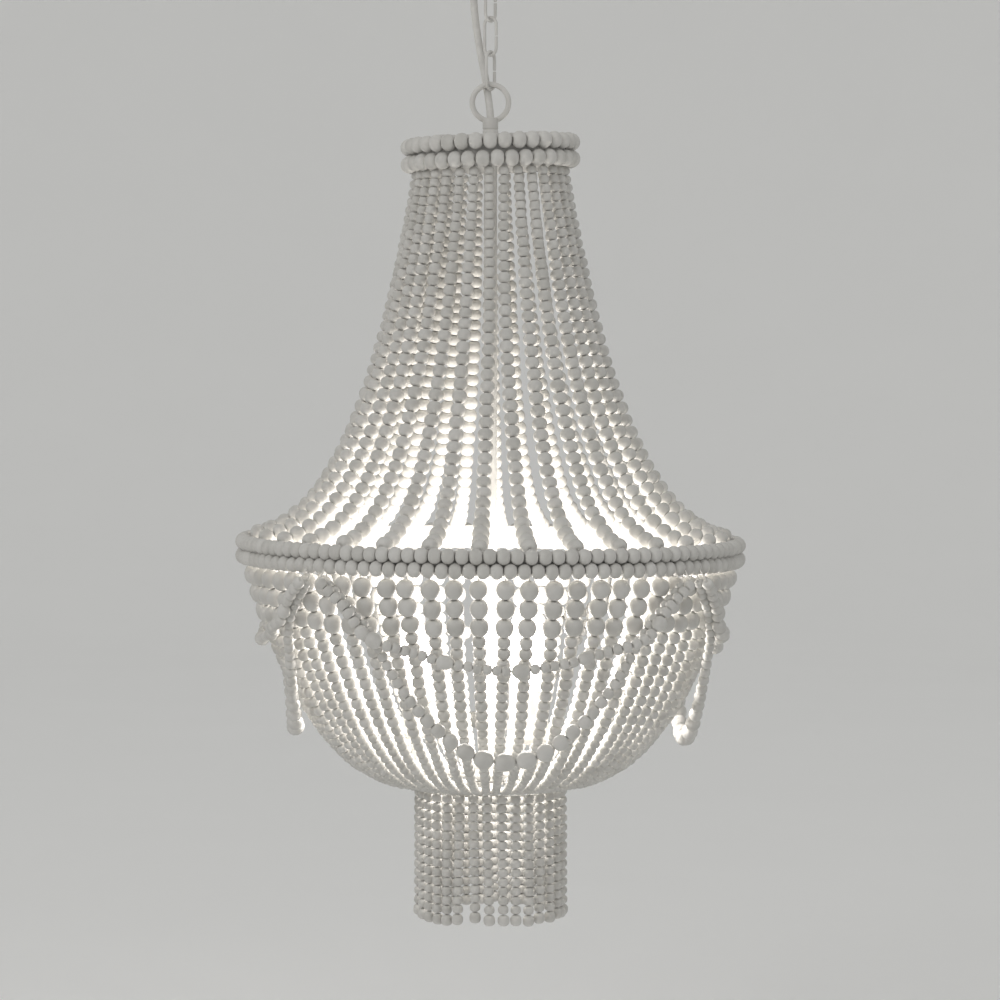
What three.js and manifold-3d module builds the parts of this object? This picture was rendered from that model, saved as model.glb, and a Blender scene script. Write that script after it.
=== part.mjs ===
// A beaded basket chandelier, in millimetres, +Z up.
// The origin is on the ceiling, at the centre of the top face of the bracket that carries it.
// Strands of wooden beads hang from a small crown ring to a wide main ring, a basket of strands
// closes below it on a bottom ring, and a straight tassel and four pairs of swags hang outside.
import * as THREE from "three";
import { mergeVertices } from "three/addons/utils/BufferGeometryUtils.js";
import Module from "manifold-3d";

// Driving dimensions
const seatGap = 0.3; // what two pieces that touch keep between them
const overrun = 2; // how far a cut runs past the faces it opens

const bracketLength = 96;
const bracketWidth = 22;
const bracketThickness = 2.4;
const bracketSkin = 0.8; // left above the blind hole that the nipple screws into
const bracketScrewHole = 5;
const bracketScrewSpacing = 70;

const canopyDiameter = 120;
const canopyDepth = 26;
const canopyWall = 1.2;

const nippleDiameter = 10; // hollow threaded tube that carries the ceiling loop
const nippleBore = 7.6;
const lockNutHeight = 4.5;
const lockNutWidth = 17;

const terminalLength = 30;
const terminalWidth = 14;
const terminalHeight = 11;

const chainWire = 3.2;
const linkLength = 40; // outside
const linkWidth = 18; // outside
const linkSlit = 0.6; // the bent link's ends stay this far apart
const linkTurns = [40, -14, 52]; // degrees, from the top link down
const bendSteps = 6;

const ceilingLoopDiameter = 26; // outside
const ceilingLoopWire = 5;
const ceilingLoopTurn = 120; // degrees from the X axis to the loop's plane
const loopDiameter = 41; // outside
const loopWire = 5.4;
const collarDiameter = 14.8;
const collarFootDiameter = 20;
const collarFootHeight = 5;
const collarHeight = 12;

const cableDiameter = 7.2;
const gripLength = 21;
const gripDiameter = 13;
const gripX = -17;
const gripY = 8;
const gripHold = 4; // how far up inside the grip the free cable starts
const cableDropShares = [
  0, 0.034, 0.105, 0.22, 0.334, 0.434, 0.535,
  0.62, 0.692, 0.757, 0.821, 0.878, 0.93, 1,
];
const cableSideShares = [
  1, 1, 0.98, 0.906, 0.788, 0.659, 0.512,
  0.376, 0.271, 0.188, 0.112, 0.053, 0.012, 0,
];
const cableBackShares = [1, 1, 1.037, 1.1, 1.162, 1.187, 1.162, 1.1, 1.03, 0.83, 0.53, 0.24, 0.05, 0];

const crownBead = 14;
const crownBeads = 36; // beads in one row
const crownRowPitch = 15;
const bandThickness = 2;
const hubDiameter = 26;
const hubHeight = 13;
const spokeWidth = 9;
const spokeThickness = 3;
const spokes = 4;

const stemTubeDiameter = 13;

const mainRingDiameter = 500; // over the beads
const mainBead = 12.8;
const mainRowPitch = 13.4;
const crownToMain = 358.4; // crown band's lower edge to the main band's upper edge
const mainToBottom = 214.4; // main band's lower edge to the basket strands' lower ends
const bottomRingDiameter = 141; // to the middle of its wire
const bottomRingWire = 5;

const tentStrands = 32;
const basketStrands = 64;
const tasselStrands = 32;
const quarters = 4;
const firstStrandTurn = -2.3; // degrees from the front

const tentBeadSizes = [8.4, 9.6, 12.4, 15, 16.4];
const tentBeadShares = [0, 0.23, 0.49, 0.85, 1];
const tentSlackShare = 1.05; // strand length to the straight distance
const basketBeadSizes = [6.4, 8, 11, 13, 16.8, 17];
const basketBeadShares = [0, 0.1, 0.4, 0.74, 0.82, 1];
const basketSlackShare = 1.07;
const tasselBead = 10;
const tasselLength = 128;
const tasselSlack = 1.5; // how far the middle of each quarter hangs below its two ends
const stringWire = 1.8; // the wire that the beads are threaded on

const swagTurn = 4.5; // degrees from the front to the middle of the front swags
const shallowSwagDrop = 80.6;
const deepSwagDrop = 168.4;
const swagShortening = [0, 3, 0, 13]; // how much less each pair hangs down than the front one
const deepSwagReach = 192; // radius of the deep swag's lowest bead
const swagBead = 9;
const swagGap = 0.6; // how far a swag hangs clear of the basket's beads
const shallowAccents = [15, 17.6, 15.6, 18, 14, 15.6];
const shallowAccentShares = [-0.78, -0.717, -0.36, 0.07, 0.45, 0.817];
const deepSwagBeads = [9, 9.6, 14, 18, 22];
const deepSwagBeadShares = [0, 0.35, 0.6, 0.8, 1];
const deepHangPower = 1.5; // how late the deep swag draws in towards its lowest bead
const swagInset = 2.6; // degrees from the post between two pairs to each swag's end
const deepHookOut = 2.6; // how far outside the main row's middle the thread is tied
const shallowHookOut = 6.8;

const lampCount = 3;
const lampTurn = 36; // degrees from the front to the first lamp
const lampReach = 75;
const armDiameter = 8;
const lampHubDiameter = 34;
const lampHubHeight = 22;
const armRise = 32;
const cupDiameter = 44;
const cupHeight = 7;
const cupWall = 1.2;
const holderDiameter = 18;
const holderHeight = 48;
const sleeveDiameter = 24;
const sleeveWall = 1.5;
const sleeveHeight = 52;
const bulbBaseDiameter = 13.5;
const bulbBaseLength = 20;
const bulbDiameter = 35;
const bulbLength = 78; // glass above the holder

const finialDiameter = 20;
const finialHeight = 9;

const deg = Math.PI / 180;
const wasm = await Module();
wasm.setup();

// Finishes
function finish(color, roughness, metalness) {
  return new THREE.MeshStandardMaterial({ color, roughness, metalness });
}

const paintedBead = finish(0xe9e5dd, 0.55, 0);
const paintedSteel = finish(0xe6e4df, 0.45, 0.1);
const zincSteel = finish(0xb4b6b8, 0.4, 0.9);
const whitePlastic = finish(0xf0eee8, 0.5, 0);
const cableSheath = finish(0xecebe6, 0.5, 0);
const bulbGlass = finish(0xfff1d6, 0.15, 0);

const chandelier = new THREE.Group();

function add(name, geometry, material, parent = chandelier) {
  const mesh = new THREE.Mesh(geometry, material);
  mesh.name = name;
  parent.add(mesh);
  return mesh;
}

// Solids

function toSolid(geometry) {
  const bare = geometry.clone();
  bare.deleteAttribute("normal");
  bare.deleteAttribute("uv");
  const merged = mergeVertices(bare, seatGap / 1000);
  const corners = Array.from(merged.index.array);
  const kept = [];
  for (let i = 0; i < corners.length; i += 3) {
    const [a, b, c] = corners.slice(i, i + 3);
    if (a !== b && b !== c && c !== a) kept.push(a, b, c);
  }
  return new wasm.Manifold(
    new wasm.Mesh({
      numProp: 3,
      vertProperties: new Float32Array(merged.attributes.position.array),
      triVerts: new Uint32Array(kept),
    }),
  );
}

function toGeometry(solid) {
  const mesh = solid.getMesh();
  const geometry = new THREE.BufferGeometry();
  geometry.setAttribute("position", new THREE.BufferAttribute(new Float32Array(mesh.vertProperties), 3));
  geometry.setIndex(new THREE.BufferAttribute(new Uint32Array(mesh.triVerts), 1));
  geometry.computeVertexNormals();
  return geometry;
}

function join(geometries) {
  return toGeometry(geometries.map(toSolid).reduce((all, one) => all.add(one)));
}

function cut(geometry, tools) {
  return toGeometry(tools.map(toSolid).reduce((left, tool) => left.subtract(tool), toSolid(geometry)));
}

// A body turned about the Z axis: the outline's [radius, height] corners close on themselves.
function turned(outline, segments) {
  const points = outline.map(([radius, height]) => new THREE.Vector2(radius, height));
  if (outline[0][0] > 0) points.push(points[0].clone());
  const area = points.reduce((sum, p, i) => {
    const q = points[(i + 1) % points.length];
    return sum + p.x * q.y - q.x * p.y;
  }, 0);
  if (area < 0) points.reverse();
  const geometry = new THREE.LatheGeometry(points, segments);
  return geometry.rotateX(Math.PI / 2);
}

function tube(outer, inner, top, bottom, segments) {
  const wall = [
    [inner, bottom],
    [outer, bottom],
    [outer, top],
    [inner, top],
  ];
  return turned(wall, segments);
}

// A hexagon nut with a round bore.
function nut(width, bore, top, bottom) {
  const body = pin(width / 2, top, bottom, 0, 0, 6);
  return cut(body, [pin(bore, top + overrun, bottom - overrun, 0, 0, 16)]);
}

function block(width, depth, height, x, y, z) {
  return new THREE.BoxGeometry(width, depth, height).translate(x, y, z);
}

function pin(radius, top, bottom, x, y, segments) {
  const body = new THREE.CylinderGeometry(radius, radius, top - bottom, segments);
  return body.rotateX(Math.PI / 2).translate(x, y, (top + bottom) / 2);
}

// A tube of one thickness along a curve, with both ends closed.
function wireAlong(curve, diameter, sides, steps) {
  const section = new THREE.Shape();
  for (let i = 0; i < sides; i += 1) {
    const turn = (2 * Math.PI * i) / sides;
    const x = (diameter / 2) * Math.cos(turn);
    const y = (diameter / 2) * Math.sin(turn);
    if (i === 0) section.moveTo(x, y);
    else section.lineTo(x, y);
  }
  section.closePath();
  return new THREE.ExtrudeGeometry(section, { steps, bevelEnabled: false, extrudePath: curve });
}

// A tube whose thickness changes: each station has its centre, its direction, a side direction
// square to it, and its radius. A ring of stations joins its last to its first.
function tapered(stations, sides, isRing = false) {
  const corners = [];
  const index = [];
  for (const { at, along, side, radius } of stations) {
    const other = new THREE.Vector3().crossVectors(along, side);
    for (let k = 0; k < sides; k += 1) {
      const turn = (2 * Math.PI * (k + 0.5)) / sides;
      const corner = at.clone();
      corner.addScaledVector(side, radius * Math.cos(turn));
      corner.addScaledVector(other, radius * Math.sin(turn));
      corners.push(corner.x, corner.y, corner.z);
    }
  }
  const spans = isRing ? stations.length : stations.length - 1;
  for (let s = 0; s < spans; s += 1) {
    const near = s * sides;
    const far = ((s + 1) % stations.length) * sides;
    for (let k = 0; k < sides; k += 1) {
      const next = (k + 1) % sides;
      index.push(near + k, near + next, far + next, near + k, far + next, far + k);
    }
  }
  if (!isRing) {
    const last = (stations.length - 1) * sides;
    for (let k = 1; k < sides - 1; k += 1) {
      index.push(0, k + 1, k, last, last + k, last + k + 1);
    }
  }
  const geometry = new THREE.BufferGeometry();
  geometry.setAttribute("position", new THREE.BufferAttribute(new Float32Array(corners), 3));
  geometry.setIndex(index);
  geometry.computeVertexNormals();
  return geometry;
}

// A value read from a table of shares and sizes, straight between its rows.
function graded(shares, sizes, share) {
  if (share <= shares[0]) return sizes[0];
  const last = shares.length - 1;
  const found = shares.findIndex((s) => s >= share);
  if (found < 0) return sizes[last];
  const t = (share - shares[found - 1]) / (shares[found] - shares[found - 1]);
  return sizes[found - 1] + (sizes[found] - sizes[found - 1]) * t;
}

// A chain hung between two points, as [radius, height] at even steps of its length.
function hangingCurve(from, to, slack, steps) {
  const run = to[0] - from[0];
  const drop = to[1] - from[1];
  const width = Math.abs(run);
  const length = slack * Math.hypot(run, drop);
  const target = Math.sqrt(length * length - drop * drop) / width;
  let low = 1 / 1000;
  let high = 20;
  for (let i = 0; i < 60; i += 1) {
    const middle = (low + high) / 2;
    if (Math.sinh(middle) / middle < target) low = middle;
    else high = middle;
  }
  const scale = width / (2 * low);
  const lowest = width / 2 - scale * Math.atanh(drop / length);
  const points = [];
  for (let i = 0; i <= steps; i += 1) {
    const reach = (length * i) / steps;
    const x = lowest + scale * Math.asinh(reach / scale + Math.sinh(-lowest / scale));
    const height = scale * (Math.cosh((x - lowest) / scale) - Math.cosh(lowest / scale));
    points.push([from[0] + Math.sign(run) * x, from[1] + height]);
  }
  return points;
}

// Directions round the axis: turn 0 is the front, towards -Y, and it grows to the right.
function outward(turn) {
  return new THREE.Vector3(Math.sin(turn), -Math.cos(turn), 0);
}

function onRing(turn, radius, height) {
  return outward(turn).multiplyScalar(radius).setZ(height);
}

// Heights, worked down from the ceiling

const canopyBottom = -canopyDepth;
const ceilingLoopCentre = canopyBottom - seatGap - ceilingLoopDiameter / 2;
const hookHeight = ceilingLoopCentre - (ceilingLoopDiameter - ceilingLoopWire) / 2;
const linkPitch = linkLength - 2 * chainWire - seatGap;
const topLinkTop = hookHeight + (ceilingLoopWire + chainWire) / 2 + 2 * seatGap;
const topLinkCentre = topLinkTop - (linkLength - chainWire) / 2;
const linkCount = linkTurns.length;
const lowLinkBottom = topLinkCentre - (linkCount - 1) * linkPitch - (linkLength - chainWire) / 2;
const loopTop = lowLinkBottom + (loopWire + chainWire) / 2 + 2 * seatGap;
const loopCentre = loopTop - (loopDiameter - loopWire) / 2;
const collarBottom = loopCentre - loopDiameter / 2 - collarHeight + loopWire;
const hubTop = collarBottom - seatGap;
const hubBottom = hubTop - hubHeight;
const upperCrownRow = hubTop - crownBead + seatGap;
const lowerCrownRow = upperCrownRow - crownRowPitch;
const crownBandTop = upperCrownRow + crownBead / 2;
const crownBandBottom = lowerCrownRow - crownBead / 2 - bandThickness;
const mainBandTop = crownBandBottom - crownToMain;
const mainBandHeight = mainRowPitch + mainBead;
const mainBandBottom = mainBandTop - mainBandHeight;
const upperMainRow = mainBandTop - mainBead / 2;
const lowerMainRow = upperMainRow - mainRowPitch;
const basketBottom = mainBandBottom - mainToBottom;

// Radii

const crownRadius = crownBead / 2 / Math.sin(Math.PI / crownBeads);
const crownBandOuter = crownRadius - crownBead / 2 - seatGap;
const crownBandMiddle = crownBandOuter - bandThickness / 2;
const mainRadius = (mainRingDiameter - mainBead) / 2;
const mainBandOuter = mainRadius - mainBead / 2 - seatGap;
const mainBandMiddle = mainBandOuter - bandThickness / 2;
const bottomRadius = bottomRingDiameter / 2;
const rodRadius = nippleDiameter / 2;
const rodHole = rodRadius + seatGap;
const cableHole = cableDiameter / 2 + seatGap;

// Ceiling fitting

function addCeilingFitting() {
  const plate = block(bracketLength, bracketWidth, bracketThickness, 0, 0, -bracketThickness / 2);
  const top = overrun;
  const bottom = -bracketThickness - overrun;
  const nippleTop = -bracketSkin - seatGap;
  const seat = pin(rodHole, -bracketSkin, bottom, 0, 0, 16);
  const screwHoles = [-1, 1].map((side) =>
    pin(bracketScrewHole / 2, top, bottom, (side * bracketScrewSpacing) / 2, 0, 12),
  );
  add("ceiling_bracket", cut(plate, [seat, ...screwHoles]), zincSteel);

  const rim = canopyDiameter / 2;
  const inner = rim - canopyWall;
  const floor = canopyBottom + canopyWall;
  const corner = canopyDepth / 2;
  const cup = turned(
    [
      [rodHole, canopyBottom],
      [rim - corner, canopyBottom],
      [rim - corner / 4, canopyBottom + corner / 3],
      [rim, canopyBottom + corner],
      [rim, -seatGap],
      [inner, -seatGap],
      [inner, canopyBottom + corner],
      [rim - corner / 4 - canopyWall, canopyBottom + corner / 3 + canopyWall / 2],
      [rim - corner, floor],
      [rodHole, floor],
    ],
    28,
  );
  const gripHole = pin(cableHole, floor + overrun, canopyBottom - overrun, gripX, gripY, 12);
  add("ceiling_canopy", cut(cup, [gripHole]), paintedSteel);

  const nippleBottom = canopyBottom - collarHeight / 2;
  add("threaded_nipple", tube(rodRadius, nippleBore / 2, nippleTop, nippleBottom, 16), zincSteel);
  const nutTop = -bracketThickness - seatGap;
  add("bracket_locknut", nut(lockNutWidth, rodHole, nutTop, nutTop - lockNutHeight), zincSteel);

  const terminalY = bracketWidth / 2 + terminalWidth / 2 + seatGap;
  const terminalZ = floor + terminalHeight / 2 + seatGap;
  const terminal = block(terminalLength, terminalWidth, terminalHeight, 0, terminalY, terminalZ);
  const ways = [-1, 0, 1].map((way) => {
    const x = (way * terminalLength) / 3;
    return pin(terminalWidth / 7, terminalZ + terminalHeight, terminalZ, x, terminalY, 8);
  });
  add("terminal_block", cut(terminal, ways), whitePlastic);
}

// A ring of wire on a hollow collar, which a nipple or a rod screws into.
function ringNut(ringDiameter, wire, ringCentre, collar) {
  const ring = new THREE.TorusGeometry((ringDiameter - wire) / 2, wire / 2, 7, 24);
  ring.rotateX(Math.PI / 2).translate(0, 0, ringCentre);
  const body = join([ring, turned(collar.outline, 16)]);
  return cut(body, collar.bores);
}

function addCeilingLoop() {
  const top = canopyBottom - seatGap;
  const bottom = top - collarHeight * 0.75;
  const radius = collarDiameter / 2;
  const outline = [
    [0, bottom],
    [radius, bottom],
    [radius, top],
    [0, top],
  ];
  const bores = [pin(rodHole, top + overrun, canopyBottom - collarHeight / 2 - seatGap, 0, 0, 16)];
  const loop = ringNut(ceilingLoopDiameter, ceilingLoopWire, ceilingLoopCentre, { outline, bores });
  add("ceiling_loop", loop.rotateZ(ceilingLoopTurn * deg), paintedSteel);
}

// Chain

// A link is one bent wire, and its two ends meet in a slit halfway up the right limb.
function linkWire() {
  const half = (linkWidth - chainWire) / 2;
  const straight = (linkLength - chainWire) / 2 - half;
  const station = (x, z, alongX, alongZ) => ({
    at: new THREE.Vector3(x, 0, z),
    along: new THREE.Vector3(alongX, 0, alongZ),
    side: new THREE.Vector3(0, 1, 0),
    radius: chainWire / 2,
  });
  const bend = (centre, from) =>
    Array.from({ length: bendSteps + 1 }, (_, i) => {
      const turn = from + (Math.PI * i) / bendSteps;
      const [x, z] = [Math.cos(turn), Math.sin(turn)];
      return station(half * x, centre + half * z, -z, x);
    });
  const upper = bend(straight, 0);
  const lower = bend(-straight, Math.PI);
  const ends = [station(half, linkSlit / 2, 0, 1), station(half, -linkSlit / 2, 0, 1)];
  return tapered([ends[0], ...upper, ...lower, ends[1]], 6);
}

function addChain() {
  for (let i = 0; i < linkCount; i += 1) {
    const link = add(`chain_link_${i + 1}`, linkWire(), paintedSteel);
    link.position.z = topLinkCentre - i * linkPitch;
    link.rotation.z = linkTurns[i] * deg;
  }
}

// Hanging loop, which carries everything below the chain

function addHangingLoop() {
  const neck = collarDiameter / 2;
  const foot = collarFootDiameter / 2;
  const mouth = collarBottom + collarHeight;
  const outline = [
    [0, collarBottom],
    [foot, collarBottom],
    [foot, collarBottom + collarFootHeight / 2],
    [neck, collarBottom + collarFootHeight],
    [neck, mouth],
    [0, mouth],
  ];
  const bores = [
    pin(cableHole, mouth + overrun, collarBottom - overrun, 0, 0, 16),
    pin(rodHole, rodTop + seatGap, collarBottom - overrun, 0, 0, 16),
  ];
  add("hanging_loop", ringNut(loopDiameter, loopWire, loopCentre, { outline, bores }), paintedSteel);
}

// Supply cable: it leaves the canopy beside the chain and goes down behind it into the collar

const rodTop = collarBottom + collarHeight / 3;
const gripTop = canopyBottom - seatGap;
const cableTop = gripTop - gripLength + gripHold;
const cableBottom = rodTop + canopyWall * 1.5;
const cablePoints = cableDropShares.map((share, i) => {
  const height = cableTop + (cableBottom - cableTop) * share;
  return new THREE.Vector3(gripX * cableSideShares[i], gripY * cableBackShares[i], height);
});

function addCable() {
  const grip = gripDiameter / 2;
  const outline = [
    [cableHole, gripTop],
    [grip, gripTop],
    [grip, gripTop - gripLength / 5],
    [cableHole + canopyWall, gripTop - gripLength],
    [cableHole, gripTop - gripLength],
  ];
  add("cable_grip", turned(outline, 12).translate(gripX, gripY, 0), whitePlastic);
  const route = new THREE.CatmullRomCurve3(cablePoints, false, "centripetal");
  add("supply_cable", wireAlong(route, cableDiameter, 8, 16), cableSheath);
}

// Frame: crown, stem, main band and bottom ring

function addCrownFrame() {
  const hub = tube(hubDiameter / 2, rodHole, hubTop, hubBottom, 16);
  const band = tube(crownBandOuter, crownBandOuter - bandThickness, crownBandTop, crownBandBottom, 32);
  const inside = (rodHole + hubDiameter / 2) / 2;
  const reach = crownBandMiddle - inside;
  const arms = [];
  for (let i = 0; i < spokes; i += 1) {
    const arm = block(reach, spokeWidth, spokeThickness, inside + reach / 2, 0, hubBottom + hubHeight / 2);
    arms.push(arm.rotateZ(((i + 0.5) * 2 * Math.PI) / spokes));
  }
  add("crown_frame", join([hub, band, ...arms]), paintedSteel);
}

// A row of beads threaded edge to edge round a band, with a waist between each two beads.
function addBeadRow(name, radius, height, bead, count, sides) {
  const stations = [];
  for (let i = 0; i < count; i += 1) {
    for (const [shift, share] of rowShares) {
      const turn = ((i + shift) * 2 * Math.PI) / count;
      stations.push({
        at: onRing(turn, radius, height),
        along: outward(turn + Math.PI / 2),
        side: outward(turn),
        radius: (bead / 2) * share,
      });
    }
  }
  add(name, tapered(stations, sides, true), paintedBead);
}

const rowShares = [
  [0, 0.55],
  [0.5, 1],
];

function addPlainRow(name, radius, height, bead, count) {
  const stations = [];
  for (let i = 0; i < count; i += 1) {
    const turn = (i * 2 * Math.PI) / count;
    stations.push({
      at: onRing(turn, radius, height),
      along: outward(turn + Math.PI / 2),
      side: outward(turn),
      radius: bead / 2,
    });
  }
  add(name, tapered(stations, 6, true), paintedBead);
}

function addStem() {
  const rodBottom = nutTop - finialHeight;
  add("stem_rod", tube(rodRadius, nippleBore / 2, rodTop, rodBottom, 12), zincSteel);
  const tubeTop = hubBottom - seatGap;
  const tubeBottom = lampHubTop + seatGap;
  add("stem_tube", tube(stemTubeDiameter / 2, rodHole, tubeTop, tubeBottom, 12), paintedSteel);
}

function addMainBand() {
  const inner = mainBandOuter - bandThickness;
  add("main_band", tube(mainBandOuter, inner, mainBandTop, mainBandBottom, 48), paintedSteel);
}

const ringCentre = basketBottom - stringWire - bottomRingWire / 2 - 2 * seatGap;

function addBottomRing() {
  const wire = new THREE.TorusGeometry(bottomRadius, bottomRingWire / 2, 6, 32);
  wire.translate(0, 0, ringCentre);
  const hub = tube(hubDiameter / 2, rodHole, crossTop, crossTop - spokeThickness, 16);
  const inside = (rodHole + hubDiameter / 2) / 2;
  const reach = bottomRadius - inside;
  const arms = [];
  for (let i = 0; i < spokes; i += 1) {
    const middle = inside + reach / 2;
    const arm = block(reach, spokeWidth, spokeThickness, middle, 0, crossTop - spokeThickness / 2);
    arms.push(arm.rotateZ((i * 2 * Math.PI) / spokes));
  }
  add("bottom_ring", join([wire, hub, ...arms]), paintedSteel);
  const finial = [
    [rodHole, nutTop],
    [finialDiameter / 2, nutTop],
    [finialDiameter / 2, nutTop - finialHeight / 2],
    [rodHole + canopyWall, nutTop - finialHeight],
    [rodHole, nutTop - finialHeight],
  ];
  add("finial_nut", turned(finial, 16), paintedSteel);
}

const crossTop = ringCentre + spokeThickness / 2;
const nutTop = crossTop - spokeThickness - seatGap;
const lampHubBottom = crossTop + seatGap;
const lampHubTop = lampHubBottom + lampHubHeight;

// Strands. Each quarter is laced on one wire, which steps along the ring from strand to strand.

function strandStations(points, turn, sizes, shares, isDown) {
  const stations = points.map(([radius, height], i) => {
    const before = points[Math.max(i - 1, 0)];
    const after = points[Math.min(i + 1, points.length - 1)];
    const along = outward(turn).multiplyScalar(after[0] - before[0]);
    along.setZ(after[1] - before[1]).normalize();
    const share = i / (points.length - 1);
    return { at: onRing(turn, radius, height), along, radius: graded(shares, sizes, share) / 2 };
  });
  if (isDown) return stations;
  return stations.reverse().map((s) => ({ ...s, along: s.along.clone().negate() }));
}

// How far the wire runs on past a strand before it turns along the ring, and where a strand
// starts below a ring that its wire is laced under
const lacingLead = stringWire;
const lacingDrop = lacingLead + stringWire / 2 + seatGap;

// One quarter of a curtain of strands: down one strand, along the ring and up the next.
function lacedQuarter(points, turns, sizes, shares, sides) {
  const stations = [];
  turns.forEach((turn, n) => {
    const isDown = n % 2 === 0;
    const strand = strandStations(points, turn, sizes, shares, isDown);
    const round = outward(turn + Math.PI / 2);
    strand.forEach((s) => {
      s.side = new THREE.Vector3().crossVectors(s.along, round);
      s.side.multiplyScalar(isDown ? 1 : -1).normalize();
    });
    const first = strand[0];
    const last = strand[strand.length - 1];
    if (n > 0) {
      const at = first.at.clone().addScaledVector(first.along, -lacingLead);
      const along = round.clone().add(first.along).normalize();
      stations.push({ at, along, side: first.side, radius: stringWire / 2 });
    }
    stations.push(...strand);
    if (n < turns.length - 1) {
      const at = last.at.clone().addScaledVector(last.along, lacingLead);
      const along = round.clone().add(last.along).normalize();
      stations.push({ at, along, side: last.side, radius: stringWire / 2 });
    }
  });
  return tapered(stations, sides);
}

function quarterTurns(count, quarter, first) {
  const each = count / quarters;
  return Array.from({ length: each }, (_, n) => (first + ((quarter * each + n) * 360) / count) * deg);
}

function addTent() {
  const end = tentBeadSizes[tentBeadSizes.length - 1];
  const from = [crownBandMiddle, crownBandBottom - lacingDrop];
  const to = [mainBandMiddle - end / 9, mainBandTop + lacingDrop];
  const points = hangingCurve(from, to, tentSlackShare, 6);
  for (let q = 0; q < quarters; q += 1) {
    const turns = quarterTurns(tentStrands, q, firstStrandTurn);
    const curtain = lacedQuarter(points, turns, tentBeadSizes, tentBeadShares, 4);
    add(`tent_strands_${q + 1}`, curtain, paintedBead);
  }
}

function basketCurve(steps) {
  const from = [bottomRadius, basketBottom];
  const to = [mainBandMiddle, mainBandBottom - lacingDrop];
  return hangingCurve(from, to, basketSlackShare, steps);
}

function addBasket() {
  const points = basketCurve(5);
  for (let q = 0; q < quarters; q += 1) {
    const turns = quarterTurns(basketStrands, q, firstStrandTurn);
    const curtain = lacedQuarter(points, turns, basketBeadSizes, basketBeadShares, 4);
    add(`basket_strands_${q + 1}`, curtain, paintedBead);
  }
}

// The tassel's strands hang free, so each quarter's wire runs only through their upper ends.
function addTassel() {
  const top = ringCentre - bottomRingWire / 2 - seatGap;
  for (let q = 0; q < quarters; q += 1) {
    const turns = quarterTurns(tasselStrands, q, firstStrandTurn);
    const last = turns.length - 1;
    const hung = (n) => top - tasselSlack * Math.sin((Math.PI * n) / last);
    const stations = turns.map((turn, n) => ({
      at: onRing(turn, bottomRadius, hung(n) - stringWire),
      along: outward(turn + Math.PI / 2),
      side: outward(turn),
      radius: stringWire / 2,
    }));
    const strands = turns.map((turn, n) => {
      const along = new THREE.Vector3(0, 0, -1);
      const side = outward(turn);
      const ends = [hung(n), hung(n) - tasselLength];
      const station = (height) => {
        return { at: onRing(turn, bottomRadius, height), along, side, radius: tasselBead / 2 };
      };
      return tapered(ends.map(station), 5);
    });
    add(`tassel_strands_${q + 1}`, join([tapered(stations, 4), ...strands]), paintedBead);
  }
}

// Swags. The drop and the reach are shares of each swag's own drop and reach, by its width.

const shallowDropShares = [0, 0.3, 0.6, 0.76, 0.9, 1];
const shallowWidthShares = [1, 0.863, 0.766, 0.588, 0.366, 0];
const deepDropShares = [0, 0.143, 0.28, 0.52, 0.69, 0.85, 0.96, 1];
const deepWidthShares = [1, 0.873, 0.766, 0.656, 0.549, 0.395, 0.22, 0];
const overDeepShares = [0.5, 0.68]; // the shallow swag lies on the deep one beyond these widths

function swagCurve(widthShares, dropShares) {
  const half = widthShares.map((w, i) => new THREE.Vector2(-w, dropShares[i]));
  const other = half.slice(0, -1).map((p) => new THREE.Vector2(-p.x, p.y));
  return new THREE.SplineCurve([...half, ...other.reverse()]);
}

// The radius at which a bead of a swag lies against the basket's beads at a height.
function restRadius(height, bead, basket) {
  const last = basket.length - 1;
  const found = basket.findIndex((p) => p[1] >= height);
  const upper = found < 0 ? last : Math.max(found, 1);
  const [lowRadius, lowHeight] = basket[upper - 1];
  const [highRadius, highHeight] = basket[upper];
  const t = Math.min((height - lowHeight) / (highHeight - lowHeight), 1);
  const strand = graded(basketBeadShares, basketBeadSizes, (upper - 1 + t) / last);
  const lean = Math.cos(Math.atan2(highRadius - lowRadius, highHeight - lowHeight));
  return lowRadius + (highRadius - lowRadius) * t + ((strand + bead) / 2 + swagGap) / lean;
}

function addSwag(name, middle, drop, [hookOut, hookTop], curve, reachAt, sizeAt) {
  const halfWidth = Math.PI / quarters - swagInset * deg;
  const stations = curve.getSpacedPoints(swagSteps).map((p, i) => {
    const height = swagTop - p.y * drop;
    const bead = sizeAt(p, i);
    return { at: onRing(middle + p.x * halfWidth, reachAt(height, bead, p), height), radius: bead / 2 };
  });
  stations.forEach((station, i) => {
    const before = stations[Math.max(i - 1, 0)].at;
    const after = stations[Math.min(i + 1, stations.length - 1)].at;
    station.along = after.clone().sub(before).normalize();
    station.side = new THREE.Vector3().crossVectors(station.along, outward(middle)).normalize();
  });
  const wires = [stations[0], stations[stations.length - 1]].map((end, i) => {
    const top = onRing(middle + (i === 0 ? -halfWidth : halfWidth), mainRadius + hookOut, hookTop);
    return wireAlong(new THREE.LineCurve3(top, end.at), stringWire, 4, 1);
  });
  add(name, join([tapered(stations, 5), ...wires]), paintedBead);
}

const swagSteps = 20;
const swagHookTop = lowerMainRow - (mainBead / 2) * Math.cos(Math.PI / 6) - seatGap;
const swagTop = swagHookTop - swagBead;
const overDeep = deepSwagBeads[0] + seatGap;
const hookClearance = (mainBead + stringWire) / 2 + seatGap;
const shallowHookTop = lowerMainRow - Math.sqrt(hookClearance ** 2 - shallowHookOut ** 2);

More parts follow.
